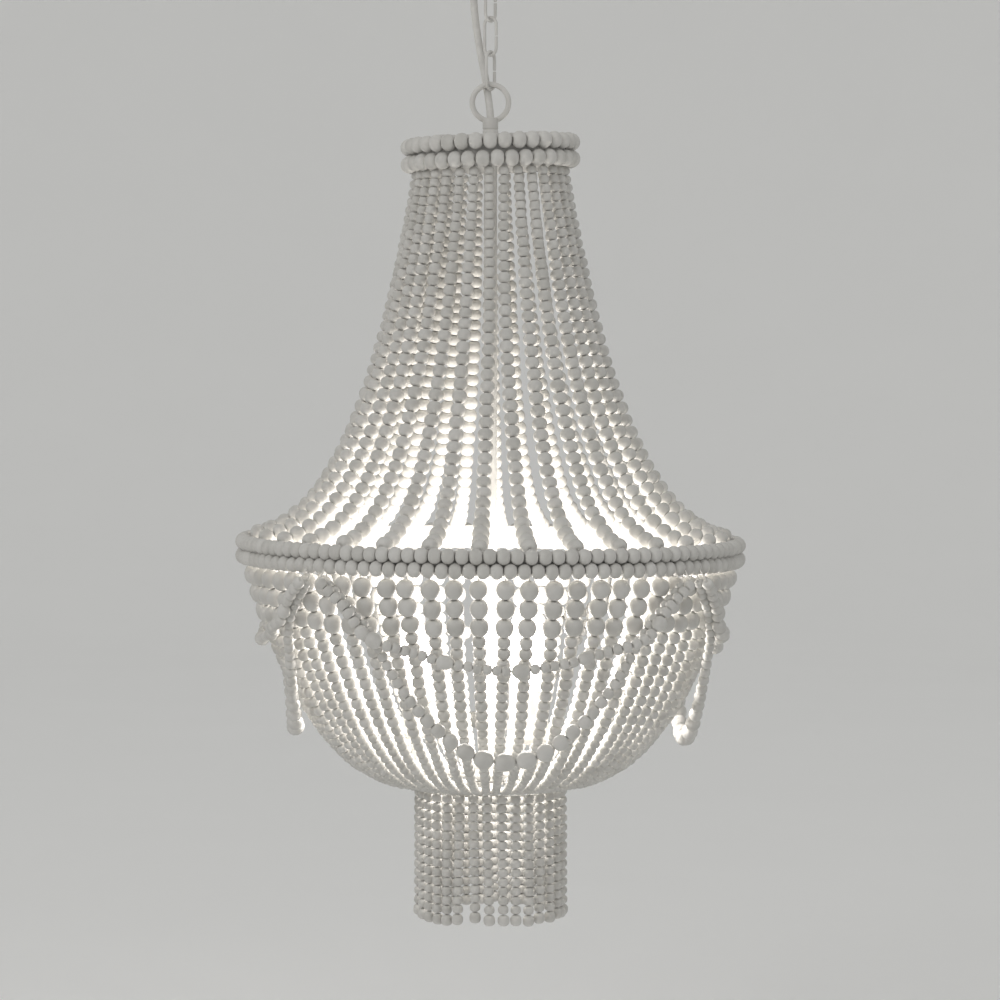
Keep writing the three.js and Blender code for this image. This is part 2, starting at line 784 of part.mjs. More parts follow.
function addSwags() {
  const basket = basketCurve(24);
  const shallow = swagCurve(shallowWidthShares, shallowDropShares);
  const deep = swagCurve(deepWidthShares, deepDropShares);
  const onBasket = (height, bead) => restRadius(height, bead, basket);
  const reachTop = onBasket(mainBandBottom - swagBead * 2, swagBead);
  const hung = (dropShare) => reachTop + (deepSwagReach - reachTop) * dropShare ** deepHangPower;
  const deepReach = (height, bead, p) => Math.max(hung(p.y), onBasket(height, bead));
  const onDeep = (deepDrop) => (height, bead, p) => {
    const under = THREE.MathUtils.smoothstep(Math.abs(p.x), ...overDeepShares);
    const deepRadius = hung((swagTop - height) / deepDrop) + (overDeep + bead + seatGap) / 2;
    const outside = Math.max(deepRadius, onBasket(height, bead + 2 * overDeep));
    return THREE.MathUtils.lerp(onBasket(height, bead), outside, under);
  };
  const deepSize = (p) => graded(deepSwagBeadShares, deepSwagBeads, p.y);
  const spaced = shallow.getSpacedPoints(swagSteps);
  const nearest = shallowAccentShares.map((share) => {
    const away = spaced.map((p) => Math.abs(p.x - share));
    return away.indexOf(Math.min(...away));
  });
  const accentAt = (p, i) => (nearest.includes(i) ? shallowAccents[nearest.indexOf(i)] : swagBead);
  for (let q = 0; q < quarters; q += 1) {
    const middle = (swagTurn + (q * 360) / quarters) * deg;
    const [shallowDrop, deepDrop] = [shallowSwagDrop, deepSwagDrop].map((drop) => drop - swagShortening[q]);
    const reach = onDeep(deepDrop);
    const hook = [shallowHookOut, shallowHookTop];
    addSwag(`shallow_swag_${q + 1}`, middle, shallowDrop, hook, shallow, reach, accentAt);
    addSwag(`deep_swag_${q + 1}`, middle, deepDrop, [deepHookOut, swagHookTop], deep, deepReach, deepSize);
  }
}

// Lamps

const armTop = lampHubBottom + lampHubHeight / 2 + armRise;

function addLampHub() {
  const middle = (lampHubTop + lampHubBottom) / 2;
  const outline = [
    [rodHole, lampHubBottom],
    [lampHubDiameter / 2 - lampHubHeight / 5, lampHubBottom],
    [lampHubDiameter / 2, middle - lampHubHeight / 4],
    [lampHubDiameter / 2, middle + lampHubHeight / 4],
    [lampHubDiameter / 2 - lampHubHeight / 5, lampHubTop],
    [rodHole, lampHubTop],
  ];
  add("lamp_hub", turned(outline, 24), paintedSteel);
}

function addLamp(n) {
  const place = new THREE.Group();
  place.rotation.z = (lampTurn + (n * 360) / lampCount - 90) * deg;
  chandelier.add(place);
  const number = n + 1;

  const hubEdge = lampHubDiameter / 2 + seatGap;
  const low = (lampHubTop + lampHubBottom) / 2;
  const at = (x, z) => new THREE.Vector3(x, 0, z);
  const bend = new THREE.CubicBezierCurve3(
    at(hubEdge, low),
    at(hubEdge + lampReach / 2, low),
    at(lampReach, low - armRise / 2),
    at(lampReach, armTop),
  );
  add(`lamp_arm_${number}`, wireAlong(bend, armDiameter, 6, 8), paintedSteel, place);

  const cupBottom = armTop + seatGap;
  const cupFloor = cupBottom + cupWall;
  const cupFlat = sleeveDiameter / 2 + cupWall;
  const cup = [
    [0, cupBottom],
    [cupFlat, cupBottom],
    [cupDiameter / 2, cupBottom + cupHeight],
    [cupDiameter / 2 - cupWall, cupBottom + cupHeight],
    [cupFlat, cupFloor],
    [0, cupFloor],
  ];
  add(`drip_cup_${number}`, turned(cup, 16).translate(lampReach, 0, 0), paintedSteel, place);

  const holderBottom = cupFloor + seatGap;
  const holderTop = holderBottom + holderHeight;
  const bore = bulbBaseDiameter / 2 + seatGap;
  const boreFloor = holderTop - bulbBaseLength - seatGap;
  const holder = [
    [0, holderBottom],
    [holderDiameter / 2, holderBottom],
    [holderDiameter / 2, holderTop],
    [bore, holderTop],
    [bore, boreFloor],
    [0, boreFloor],
  ];
  add(`lampholder_${number}`, turned(holder, 12).translate(lampReach, 0, 0), whitePlastic, place);

  const sleeve = tube(
    sleeveDiameter / 2,
    sleeveDiameter / 2 - sleeveWall,
    holderBottom + sleeveHeight,
    holderBottom,
    12,
  );
  add(`candle_sleeve_${number}`, sleeve.translate(lampReach, 0, 0), whitePlastic, place);

  const glassBottom = holderTop + seatGap;
  const radius = bulbDiameter / 2;
  const base = bulbBaseDiameter / 2;
  const bulb = [
    [0, holderTop - bulbBaseLength],
    [base, holderTop - bulbBaseLength],
    [base, glassBottom + (holderBottom + sleeveHeight - holderTop)],
    [radius * 0.75, glassBottom + bulbLength * 0.2],
    [radius, glassBottom + bulbLength * 0.4],
    [radius * 0.8, glassBottom + bulbLength * 0.65],
    [radius * 0.3, glassBottom + bulbLength * 0.92],
    [0, glassBottom + bulbLength],
  ];
  add(`bulb_${number}`, turned(bulb, 12).translate(lampReach, 0, 0), bulbGlass, place);
}

// Assembly

addCeilingFitting();
addCeilingLoop();
addChain();
addHangingLoop();
addCable();
addCrownFrame();
addBeadRow("crown_beads_upper", crownRadius, upperCrownRow, crownBead, crownBeads, 5);
addBeadRow("crown_beads_lower", crownRadius, lowerCrownRow, crownBead, crownBeads, 5);
addStem();
addMainBand();
addPlainRow("main_beads_upper", mainRadius, upperMainRow, mainBead, 54);
addPlainRow("main_beads_lower", mainRadius, lowerMainRow, mainBead, 54);
addBottomRing();
addTent();
addBasket();
addTassel();
addSwags();
addLampHub();
for (let n = 0; n < lampCount; n += 1) addLamp(n);

export default chandelier;
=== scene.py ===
import math

import bpy
import numpy as np
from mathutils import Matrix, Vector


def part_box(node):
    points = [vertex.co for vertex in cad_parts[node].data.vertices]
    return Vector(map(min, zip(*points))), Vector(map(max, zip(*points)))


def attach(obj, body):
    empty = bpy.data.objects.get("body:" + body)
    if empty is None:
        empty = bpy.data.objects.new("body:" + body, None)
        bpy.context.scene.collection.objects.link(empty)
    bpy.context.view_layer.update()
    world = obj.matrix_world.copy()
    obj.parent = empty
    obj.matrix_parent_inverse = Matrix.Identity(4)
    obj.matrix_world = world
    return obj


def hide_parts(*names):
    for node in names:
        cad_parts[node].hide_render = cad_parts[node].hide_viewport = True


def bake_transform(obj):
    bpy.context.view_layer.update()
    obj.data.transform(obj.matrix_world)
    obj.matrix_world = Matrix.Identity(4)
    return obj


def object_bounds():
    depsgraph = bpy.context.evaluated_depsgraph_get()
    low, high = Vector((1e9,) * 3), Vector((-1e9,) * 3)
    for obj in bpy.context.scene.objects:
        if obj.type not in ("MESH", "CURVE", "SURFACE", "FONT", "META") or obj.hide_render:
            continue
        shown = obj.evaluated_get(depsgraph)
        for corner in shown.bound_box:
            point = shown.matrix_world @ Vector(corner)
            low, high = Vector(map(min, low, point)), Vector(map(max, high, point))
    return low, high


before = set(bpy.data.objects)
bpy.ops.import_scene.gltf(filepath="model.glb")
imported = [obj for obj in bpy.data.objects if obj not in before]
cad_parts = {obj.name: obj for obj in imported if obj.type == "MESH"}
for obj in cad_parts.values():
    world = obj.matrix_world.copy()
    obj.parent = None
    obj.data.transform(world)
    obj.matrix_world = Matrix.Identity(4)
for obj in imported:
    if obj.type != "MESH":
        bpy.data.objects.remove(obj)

cadLow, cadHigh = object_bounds()
print("frame loaded:", len(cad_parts), "solids")


camera = {"place": (0.00935, -3.540, -0.3985), "aimHeight": -0.551, "lens": 129.6, "sight": 100}


def addCamera():
    eye = bpy.data.objects.new("photoCamera", bpy.data.cameras.new("photoCamera"))
    bpy.context.scene.collection.objects.link(eye)
    eye.data.lens = camera["lens"]
    eye.data.clip_end = camera["sight"]
    eye.location = camera["place"]
    drop = camera["place"][2] - camera["aimHeight"]
    eye.rotation_euler = (math.pi / 2 - math.atan2(drop, -camera["place"][1]), 0, 0)
    bpy.context.scene.camera = eye


addCamera()
print("camera placed")


# Shader maths: a Signal wraps one output socket, so that sums on it add their nodes.
class Signal:
    def __init__(self, tree, source=None):
        self.tree, self.source = tree, source

    def make(self, kind, settings, sockets, outlet=0):
        node = self.tree.nodes.new(kind)
        for name, value in settings.items():
            setattr(node, name, value)
        for name, value in sockets.items():
            if isinstance(value, Signal):
                self.tree.links.new(value.source, node.inputs[name])
            else:
                node.inputs[name].default_value = value
        return Signal(self.tree, node.outputs[outlet])

    def math(self, operation, first, second=0.0):
        return self.make("ShaderNodeMath", {"operation": operation}, {0: first, 1: second})

    def __add__(self, other):
        return self.math("ADD", self, other)

    __radd__ = __add__

    def __sub__(self, other):
        return self.math("SUBTRACT", self, other)

    def __rsub__(self, other):
        return self.math("SUBTRACT", other, self)

    def __mul__(self, other):
        return self.math("MULTIPLY", self, other)

    __rmul__ = __mul__

    def __pow__(self, other):
        return self.math("POWER", self, other)

    def between(self, low, high):
        sockets = {"Value": self, "From Min": low, "From Max": high}
        return self.make("ShaderNodeMapRange", {"clamp": True}, sockets)

    def mixed(self, first, second):
        return self.make("ShaderNodeMix", {"data_type": "RGBA"}, {0: self, 6: first, 7: second}, outlet=2)


def newMaterial(name):
    material = bpy.data.materials.new(name)
    material.use_nodes = True
    return material, Signal(material.node_tree), material.node_tree.nodes["Principled BSDF"]


def objectPlace(signal):
    return signal.make("ShaderNodeTexCoord", {}, {}, outlet=3)


def noiseAt(signal, scale, detail=3.0):
    sockets = {"Vector": objectPlace(signal), "Scale": scale, "Detail": detail}
    return signal.make("ShaderNodeTexNoise", {}, sockets)


def rgba(color):
    return (*color, 1)


def shadeOf(mask, finish):
    return mask.mixed(rgba(finish["dark"]), rgba(finish["light"]))


def finishMaterial(material, signal, shader, color, roughness, relief=None, strength=0.3, depth=0.0001):
    links = material.node_tree.links
    links.new(color.source, shader.inputs["Base Color"])
    links.new(roughness.source, shader.inputs["Roughness"])
    if relief is not None:
        bump = signal.make("ShaderNodeBump", {}, {"Strength": strength, "Distance": depth, "Height": relief})
        links.new(bump.source, shader.inputs["Normal"])
    return material


beadFinish = {
    "light": (0.63, 0.62, 0.60),
    "dark": (0.52, 0.51, 0.485),
    # Painted light: a paler colour at the drilled ends, so the shaded seams between beads look lit.
    "ends": (0.72, 0.71, 0.685),
    "brushScale": 900,
    "grainScale": 160,
    "sheen": 0.45,
}


# Chalky off-white paint over turned wood: each bead has its own tone. Towards the drilled ends the colour
# turns paler, which is painted light that lifts the shade in the seams between beads.
def makeBeadPaint():
    material, signal, shader = newMaterial("beadPaint")
    tone = signal.make("ShaderNodeAttribute", {"attribute_name": "beadTone"}, {}, outlet=2)
    ends = signal.make("ShaderNodeAttribute", {"attribute_name": "towardHole"}, {}, outlet=2)
    brush = noiseAt(signal, beadFinish["brushScale"], 4.0)
    grain = noiseAt(signal, beadFinish["grainScale"], 2.0)
    coat = shadeOf((tone * 0.6 + grain * 0.4).between(0.15, 0.85), beadFinish)
    # Painted light: the ends turn paler so the shade in the seams between beads looks lifted.
    paintedLightAtEnds = (ends ** 2.0 * (brush.between(0.35, 0.65) * 0.4 + 0.7)).between(0.0, 1.0)
    color = paintedLightAtEnds.mixed(coat, rgba(beadFinish["ends"]))
    roughness = 0.42 + brush * 0.18 + ends * 0.12
    relief = brush + grain * 0.6
    shader.inputs["Specular IOR Level"].default_value = beadFinish["sheen"]
    return finishMaterial(material, signal, shader, color, roughness, relief, strength=0.35, depth=0.00012)


# Two shades mixed by a noise in patches, and a fine noise as the relief. A noise has its scale and detail,
# spread has the patches' ends, roughness has its least value and what the patches and the fine noise add,
# and relief has its strength and depth.
finishes = {
    "waxedThread": {
        "dark": (0.70, 0.68, 0.64), "light": (0.82, 0.80, 0.77), "patches": (1500, 2.0), "spread": (0.0, 1.0),
        "fine": (1500, 2.0), "roughness": (0.7, 0.0, 0.2), "relief": (0.5, 0.0002), "metal": 0.0,
    },
    "framePaint": {
        "dark": (0.60, 0.59, 0.57), "light": (0.69, 0.68, 0.66), "patches": (35, 3.0), "spread": (0.3, 0.7),
        "fine": (700, 2.0), "roughness": (0.34, 0.12, 0.1), "relief": (0.15, 0.00008), "metal": 0.0,
    },
    "mouldedWhite": {
        "dark": (0.70, 0.69, 0.65), "light": (0.80, 0.79, 0.75), "patches": (60, 3.0), "spread": (0.3, 0.7),
        "fine": (540, 2.0), "roughness": (0.4, 0.0, 0.16), "relief": (0.12, 0.00006), "metal": 0.0,
    },
    "cableSkin": {
        "dark": (0.60, 0.59, 0.57), "light": (0.70, 0.69, 0.67), "patches": (120, 3.0), "spread": (0.3, 0.7),
        "fine": (1080, 2.0), "roughness": (0.42, 0.0, 0.16), "relief": (0.12, 0.00006), "metal": 0.0,
    },
    "lampBrass": {
        "dark": (0.62, 0.50, 0.30), "light": (0.78, 0.66, 0.42), "patches": (300, 3.0), "spread": (0.0, 1.0),
        "fine": (300, 3.0), "roughness": (0.25, 0.0, 0.25), "relief": (0.1, 0.00006), "metal": 1.0,
    },
}


def makeFinish(name):
    finish = finishes[name]
    material, signal, shader = newMaterial(name)
    patches = noiseAt(signal, *finish["patches"]).between(*finish["spread"])
    fine = noiseAt(signal, *finish["fine"])
    least, byPatches, byFine = finish["roughness"]
    roughness = least + patches * byPatches + fine * byFine
    shader.inputs["Metallic"].default_value = finish["metal"]
    color = shadeOf(patches, finish)
    return finishMaterial(material, signal, shader, color, roughness, fine, *finish["relief"])


zincFinish = {"dark": (0.52, 0.53, 0.55), "light": (0.72, 0.73, 0.75), "spangleScale": 320, "hazeScale": 90}


def makeZinc():
    material, signal, shader = newMaterial("zincPlate")
    sockets = {"Vector": objectPlace(signal), "Scale": zincFinish["spangleScale"]}
    spangle = signal.make("ShaderNodeTexVoronoi", {}, sockets)
    haze = noiseAt(signal, zincFinish["hazeScale"], 4.0)
    shader.inputs["Metallic"].default_value = 1.0
    color = shadeOf((spangle * 0.5 + haze * 0.5).between(0.1, 0.8), zincFinish)
    roughness = 0.28 + haze * 0.25
    return finishMaterial(material, signal, shader, color, roughness, haze, strength=0.1, depth=0.00006)


bulbFinish = {
    "dark": (0.90, 0.88, 0.84),
    "light": (0.96, 0.95, 0.92),
    "glow": (1.0, 0.93, 0.84),
    "hot": (1.0, 0.965, 0.92),
    "strength": 9.0,
    "frostScale": 400,
    "fade": 0.040,
}


# A lit opal bulb: hotter round its middle than at the neck and the tip.
def makeBulbGlass(name, middle):
    material, signal, shader = newMaterial(name)
    height = signal.make("ShaderNodeSeparateXYZ", {}, {"Vector": objectPlace(signal)}, outlet=2)
    heat = 1.0 - signal.math("ABSOLUTE", height - middle).between(0.0, bulbFinish["fade"])
    glow = heat.mixed(rgba(bulbFinish["glow"]), rgba(bulbFinish["hot"]))
    frost = noiseAt(signal, bulbFinish["frostScale"], 2.0)
    material.node_tree.links.new(glow.source, shader.inputs["Emission Color"])
    shader.inputs["Emission Strength"].default_value = bulbFinish["strength"]
    return finishMaterial(material, signal, shader, shadeOf(frost, bulbFinish), 0.12 + frost * 0.1)


beadPaint = makeBeadPaint()
thread = makeFinish("waxedThread")
framePaint = makeFinish("framePaint")
zincPlate = makeZinc()
mouldedWhite = makeFinish("mouldedWhite")
cableSkin = makeFinish("cableSkin")
lampBrass = makeFinish("lampBrass")
print("materials made")


def meshPiece(name, points, faces, materials, faceMaterial=None, attributes=None):
    mesh = bpy.data.meshes.new(name)
    sizes = np.array([len(face) for face in faces])
    flat = np.concatenate([np.asarray(face) for face in faces])
    mesh.vertices.add(len(points))
    mesh.vertices.foreach_set("co", np.asarray(points, np.float32).ravel())
    mesh.loops.add(len(flat))
    mesh.loops.foreach_set("vertex_index", flat.astype(np.int32))
    mesh.polygons.add(len(sizes))
    mesh.polygons.foreach_set("loop_start", (np.cumsum(sizes) - sizes).astype(np.int32))
    mesh.polygons.foreach_set("use_smooth", np.full(len(sizes), True))
    for material in materials:
        mesh.materials.append(material)
    if faceMaterial is not None:
        mesh.polygons.foreach_set("material_index", np.asarray(faceMaterial, np.int32))
    for label, values in (attributes or {}).items():
        layer = mesh.attributes.new(label, "FLOAT", "POINT")
        layer.data.foreach_set("value", np.asarray(values, np.float32))
    mesh.update(calc_edges=True)
    mesh.validate()
    piece = bpy.data.objects.new(name, mesh)
    bpy.context.scene.collection.objects.link(piece)
    return piece


def settle(piece, body, node):
    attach(piece, body)
    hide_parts(node)
    return piece


def unit(v):
    v = np.asarray(v, float)
    return v / np.maximum(np.linalg.norm(v, axis=-1, keepdims=True), 1e-12)


# A smooth curve through the points.
def catmull(points, count):
    p = np.asarray(points, float)
    p = np.vstack([2 * p[0] - p[1], p, 2 * p[-1] - p[-2]])
    at = np.linspace(0, len(p) - 3 - 1e-9, count)
    i = at.astype(int)
    t = (at - i)[:, None]
    a, b, c, d = p[i], p[i + 1], p[i + 2], p[i + 3]
    return 0.5 * (2 * b + (c - a) * t + (2 * a - 5 * b + 4 * c - d) * t**2 + (3 * b - a - 3 * c + d) * t**3)


def lengths(path):
    return np.concatenate([[0], np.cumsum(np.linalg.norm(np.diff(path, axis=0), axis=1))])


def alongPath(path, reach):
    total = lengths(path)
    return np.stack([np.interp(reach, total, path[:, k]) for k in range(3)], axis=-1)


def evenly(path, count):
    return alongPath(path, np.linspace(0, lengths(path)[-1], count))


def turnedAbout(points, turn):
    c, s = math.cos(turn), math.sin(turn)
    return np.asarray(points) @ np.array([[c, s, 0], [-s, c, 0], [0, 0, 1]])


def frameAlong(path, closed=False):
    if closed:
        ahead = np.roll(path, -1, axis=0) - np.roll(path, 1, axis=0)
    else:
        ahead = np.gradient(path, axis=0)
    ahead = unit(ahead)
    side = np.zeros_like(ahead)
    first = np.cross(ahead[0], (0, 0, 1))
    if np.linalg.norm(first) < 0.1:
        first = np.cross(ahead[0], (0, 1, 0))
    side[0] = unit(first)
    for i in range(1, len(path)):
        side[i] = unit(side[i - 1] - ahead[i] * np.dot(side[i - 1], ahead[i]))
    return ahead, side, np.cross(ahead, side)


# Points and faces of a round tube along a path. Each end is drawn in over a rounded edge.
def tubeParts(path, radius, sides=12, closed=False, rounding=0.0):
    radii = np.full(len(path), radius)
    if rounding:
        turns = (math.pi / 2) * np.array([0.0, 0.4, 0.75])
        ahead = unit(path[0] - path[1])
        back = unit(path[-1] - path[-2])
        start = [path[0] + ahead * rounding * (math.sin(t) - 1) for t in turns[::-1]]
        stop = [path[-1] + back * rounding * (math.sin(t) - 1) for t in turns]
        drawn = [radius - rounding * (1 - math.cos(t)) for t in turns]
        reach = lengths(path)
        keep = (reach > rounding * 1.05) & (reach < reach[-1] - rounding * 1.05)
        path = np.vstack([start, path[keep], stop])
        radii = np.concatenate([drawn[::-1], radii[keep], drawn])
    _, side, up = frameAlong(path, closed)
    turn = 2 * math.pi * np.arange(sides) / sides
    ring = np.cos(turn)[None, :, None] * side[:, None] + np.sin(turn)[None, :, None] * up[:, None]
    points = (path[:, None] + ring * radii[:, None, None]).reshape(-1, 3)
    n = len(path)
    faces = []
    for s in range(n if closed else n - 1):
        a, b = s * sides, ((s + 1) % n) * sides
        for k in range(sides):
            j = (k + 1) % sides
            faces.append((a + k, a + j, b + j, b + k))
    if not closed:
        faces.append(tuple(range(sides))[::-1])
        faces.append(tuple((n - 1) * sides + k for k in range(sides)))
    return points, faces


# A body turned about a vertical axis from a closed outline of [radius, height] corners, each rounded.
def turnedParts(outline, segments=64, bevel=0.0, centre=(0, 0)):
    corners = np.asarray(outline, float)
    onAxis = 1e-6
    if bevel:
        soft = []
        count = len(corners)
        for i in range(count):
            p, q, r = corners[i - 1], corners[i], corners[(i + 1) % count]
            if q[0] < onAxis:
                soft.append(q)
                continue
            cut = min(bevel, 0.4 * np.linalg.norm(p - q), 0.4 * np.linalg.norm(r - q))
            a, b = q + unit(p - q) * cut, q + unit(r - q) * cut
            soft.extend([a, 0.25 * a + 0.5 * q + 0.25 * b, b])
        corners = np.array(soft)
    radii, heights = corners.T
    area = np.sum(radii * np.roll(heights, -1) - np.roll(radii, -1) * heights)
    if area < 0:
        corners = corners[::-1]
    turn = 2 * math.pi * np.arange(segments) / segments
    points, start = [], []
    for radius, height in corners:
        start.append(len(points))
        if radius < onAxis:
            points.append((*centre, height))
            continue
        for t in turn:
            points.append((centre[0] + radius * math.cos(t), centre[1] + radius * math.sin(t), height))
    faces = []
    for i in range(len(corners)):
        j = (i + 1) % len(corners)
        one, two = corners[i][0] < onAxis, corners[j][0] < onAxis
        if one and two:
            continue
        for k in range(segments):
            m = (k + 1) % segments
            if one:
                faces.append((start[i], start[j] + m, start[j] + k))
            elif two:
                faces.append((start[i] + k, start[i] + m, start[j]))
            else:
                faces.append((start[i] + k, start[i] + m, start[j] + m, start[j] + k))
    return np.array(points), faces


# A bar with every edge cut off at a slant, turned about the axis.
def barParts(low, high, bevel, turn):
    low, high = np.asarray(low, float), np.asarray(high, float)
    mid, half = (low + high) / 2, (high - low) / 2
    points = []
    for inset, z in ((bevel, -half[2]), (0, bevel - half[2]), (0, half[2] - bevel), (bevel, half[2])):
        w, d = half[0] - inset, half[1] - inset
        points += [(w - bevel, d, z), (w, d - bevel, z), (w, bevel - d, z), (w - bevel, -d, z)]
        points += [(bevel - w, -d, z), (-w, bevel - d, z), (-w, d - bevel, z), (bevel - w, d, z)]
    faces = []
    for layer in (0, 8, 16):
        for k in range(8):
            j = (k + 1) % 8
            faces.append((layer + j, layer + k, layer + 8 + k, layer + 8 + j))
    faces.append(tuple(range(8)))
    faces.append(tuple(24 + k for k in reversed(range(8))))
    return turnedAbout(np.array(points) + mid, turn), faces


def joined(parts):
    points, faces, count = [], [], 0
    for p, f in parts:
        points.append(p)
        faces.extend(tuple(int(i) + count for i in face) for face in f)
        count += len(p)
    return np.vstack(points), faces


def addPiece(name, parts, material, body, node):
    points, faces = joined(parts)
    return settle(meshPiece(name, points, faces, [material]), body, node)


def addSteel(name, parts, node, body="chandelier"):
    return addPiece(name, parts, framePaint, body, node)


# A bead's width decides how full it is: barrels has the powers for the two sizes. The uneven values say how
# far beads differ: in slant, then as shares of their size, and where they start as a share of the strand.
beadShape = {
    "segments": 14,
    "rings": 9,
    "hole": 0.11,
    "sizes": (0.0115, 0.0160),
    "barrels": (2.55, 2.2),
    "longShare": 1.08,
    "longBarrel": 2.02,
    "unevenWay": 0.03,
    "unevenSize": 0.014,
    "unevenPlace": 0.012,
    "unevenLong": 0.035,
    "unevenStart": 0.008,
    "thread": 0.0007,
}
draw = np.random.default_rng(7)
beadSlopes = np.linspace(math.pi - beadShape["hole"], beadShape["hole"], beadShape["rings"])
beadTurns = 2 * math.pi * np.arange(beadShape["segments"]) / beadShape["segments"]
beadEnds = np.repeat(np.abs(np.cos(beadSlopes)), beadShape["segments"])


# One bead's faces: bands from ring to ring, and through the hole from the last ring to the first.
def beadBands():
    sides = beadShape["segments"]
    k = np.arange(sides)
    m = (k + 1) % sides
    faces = []
    for i in range(beadShape["rings"]):
        a, b = i * sides, (i + 1) % beadShape["rings"] * sides
        faces.append(np.stack([a + k, a + m, b + m, b + k], -1))
    return np.concatenate(faces)


beadFaces = beadBands()


# Every bead at once: its middle, the way its hole runs, its width and its length along the hole.
# Small beads are fuller, large ones are nearly balls, and long ones are egg-shaped.
def beadsAt(middles, ways, widths, spans):
    count = len(middles)
    ways = unit(ways + draw.normal(0, beadShape["unevenWay"], (count, 3)))
    other = np.where(np.abs(ways[:, 2:3]) < 0.8, [[0.0, 0.0, 1.0]], [[1.0, 0.0, 0.0]])
    side = unit(np.cross(ways, other))
    up = np.cross(ways, side)
    spin = draw.uniform(0, 2 * math.pi, (count, 1))
    side, up = side * np.cos(spin) + up * np.sin(spin), up * np.cos(spin) - side * np.sin(spin)
    radii = (widths / 2 * (1 + draw.normal(0, beadShape["unevenSize"], count)))[:, None]
    halves = (spans / 2)[:, None]
    middles = middles + draw.normal(0, beadShape["unevenPlace"], (count, 3)) * widths[:, None]
    barrels = np.interp(widths, beadShape["sizes"], beadShape["barrels"])
    barrels = np.where(spans > widths * beadShape["longShare"], beadShape["longBarrel"], barrels)
    full = 2 / barrels[:, None]
    rise = np.cos(beadSlopes)
    across = (radii * np.sin(beadSlopes)[None] ** full)[:, :, None, None]
    along = (halves * np.sign(rise) * np.abs(rise)[None] ** full)[:, :, None, None]
    x, y = np.cos(beadTurns)[None, None, :, None], np.sin(beadTurns)[None, None, :, None]
    side, up, ways = side[:, None, None], up[:, None, None], ways[:, None, None]
    points = middles[:, None, None] + across * (x * side + y * up) + along * ways
    each = len(beadEnds)
    faces = beadFaces[None] + (np.arange(count) * each)[:, None, None]
    tone = np.repeat(draw.uniform(0, 1, count), each)
    return points.reshape(-1, 3), faces.reshape(-1, 4), tone, np.tile(beadEnds, count)


def beadPiece(name, beads, threads, body, node):
    points, faces, tone, ends = beadsAt(*(np.concatenate(x) for x in zip(*beads)))
    lines, lineFaces = joined([tubeParts(path, beadShape["thread"], 6) for path in threads])
    paint = [0] * len(faces) + [1] * len(lineFaces)
    faces = [tuple(face) for face in faces.tolist()]
    faces += [tuple(i + len(points) for i in face) for face in lineFaces]
    blank = np.zeros(len(lines))
    labels = {"beadTone": np.concatenate([tone, blank]), "towardHole": np.concatenate([ends, blank])}
    piece = meshPiece(name, np.vstack([points, lines]), faces, [beadPaint, thread], paint, labels)
    return settle(piece, body, node)


# Beads threaded edge to edge along a path. The table's rows are the share of the path where a size
# starts, its width and its length. What is left over is shared between the beads.
# No two strands have their beads at quite the same heights.
def threadBeads(path, table):
    total = lengths(path)[-1]
    shift = draw.uniform(-beadShape["unevenStart"], beadShape["unevenStart"])
    places, widths, spans, reach = [], [], [], 0.0
    while True:
        width, long = [row[1:] for row in table if row[0] <= max(reach / total + shift, 0)][-1]
        long *= 1 + draw.normal(0, beadShape["unevenLong"])
        if reach + long > total:
            break
        places.append(reach + long / 2)
        widths.append(width)
        spans.append(long)
        reach += long
    return atPlaces(path, np.array(places) * total / reach, widths, np.array(spans) * total / reach)


def atPlaces(path, places, widths, spans):
    places, near = np.asarray(places), 0.001
    middles = alongPath(path, places)
    ways = unit(alongPath(path, places + near) - alongPath(path, places - near))
    return middles, ways, np.asarray(widths), np.asarray(spans)


# The curve of a hanging chain between two points, slack times as long as the straight line.
def hangingCurve(start, stop, slack, steps=60):
    run, drop = stop[0] - start[0], stop[1] - start[1]
    width, length = abs(run), slack * math.hypot(run, drop)
    target = math.sqrt(length * length - drop * drop) / width
    low, high = 0.001, 20
    for _ in range(60):
        middle = (low + high) / 2
        if math.sinh(middle) / middle < target:
            low = middle
        else:
            high = middle
    scale = width / (2 * low)
    lowest = width / 2 - scale * math.atanh(drop / length)
    reach = length * np.arange(steps + 1) / steps
    x = lowest + scale * np.arcsinh(reach / scale + math.sinh(-lowest / scale))
    height = scale * (np.cosh((x - lowest) / scale) - math.cosh(lowest / scale))
    return np.stack([start[0] + np.sign(run) * x, start[1] + height], -1)


def outward(turn):
    return np.array([math.sin(turn), -math.cos(turn), 0.0])


def onRing(turn, radius, height):
    return outward(turn) * radius + np.array([0, 0, height])


# A curve of radii and heights, stood at a turn. A twist carries its upper end further round.
def aroundAxis(curve, turn, twist=0.0):
    turns = turn + twist * np.linspace(1, 0, len(curve))
    return np.stack([np.sin(turns) * curve[:, 0], -np.cos(turns) * curve[:, 0], curve[:, 1]], -1)


def middleOf(node, axis=2):
    low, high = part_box(node)
    return (low[axis] + high[axis]) / 2


# The crown hangs a little lower at its left, and the main ring at its right.
lean = {"crown": 0.036, "main": -0.0094}


def tilted(points, slope):
    points = np.array(points)
    points[..., 2] += slope * points[..., 0]
    return points


# Rows of beads round the crown and the main ring. Raised is how far the upper and the lower row stand above
# the middle of their solids. A bead takes up nearly all of its share of the row.
crown = {"rowRadius": 0.0801, "bead": 0.0167, "count": 36, "raised": (-0.0002, -0.0020)}
mainRing = {"rowRadius": 0.2432, "bead": 0.0153, "count": 120, "raised": (-0.0015, -0.0017)}
rowFill = 0.997


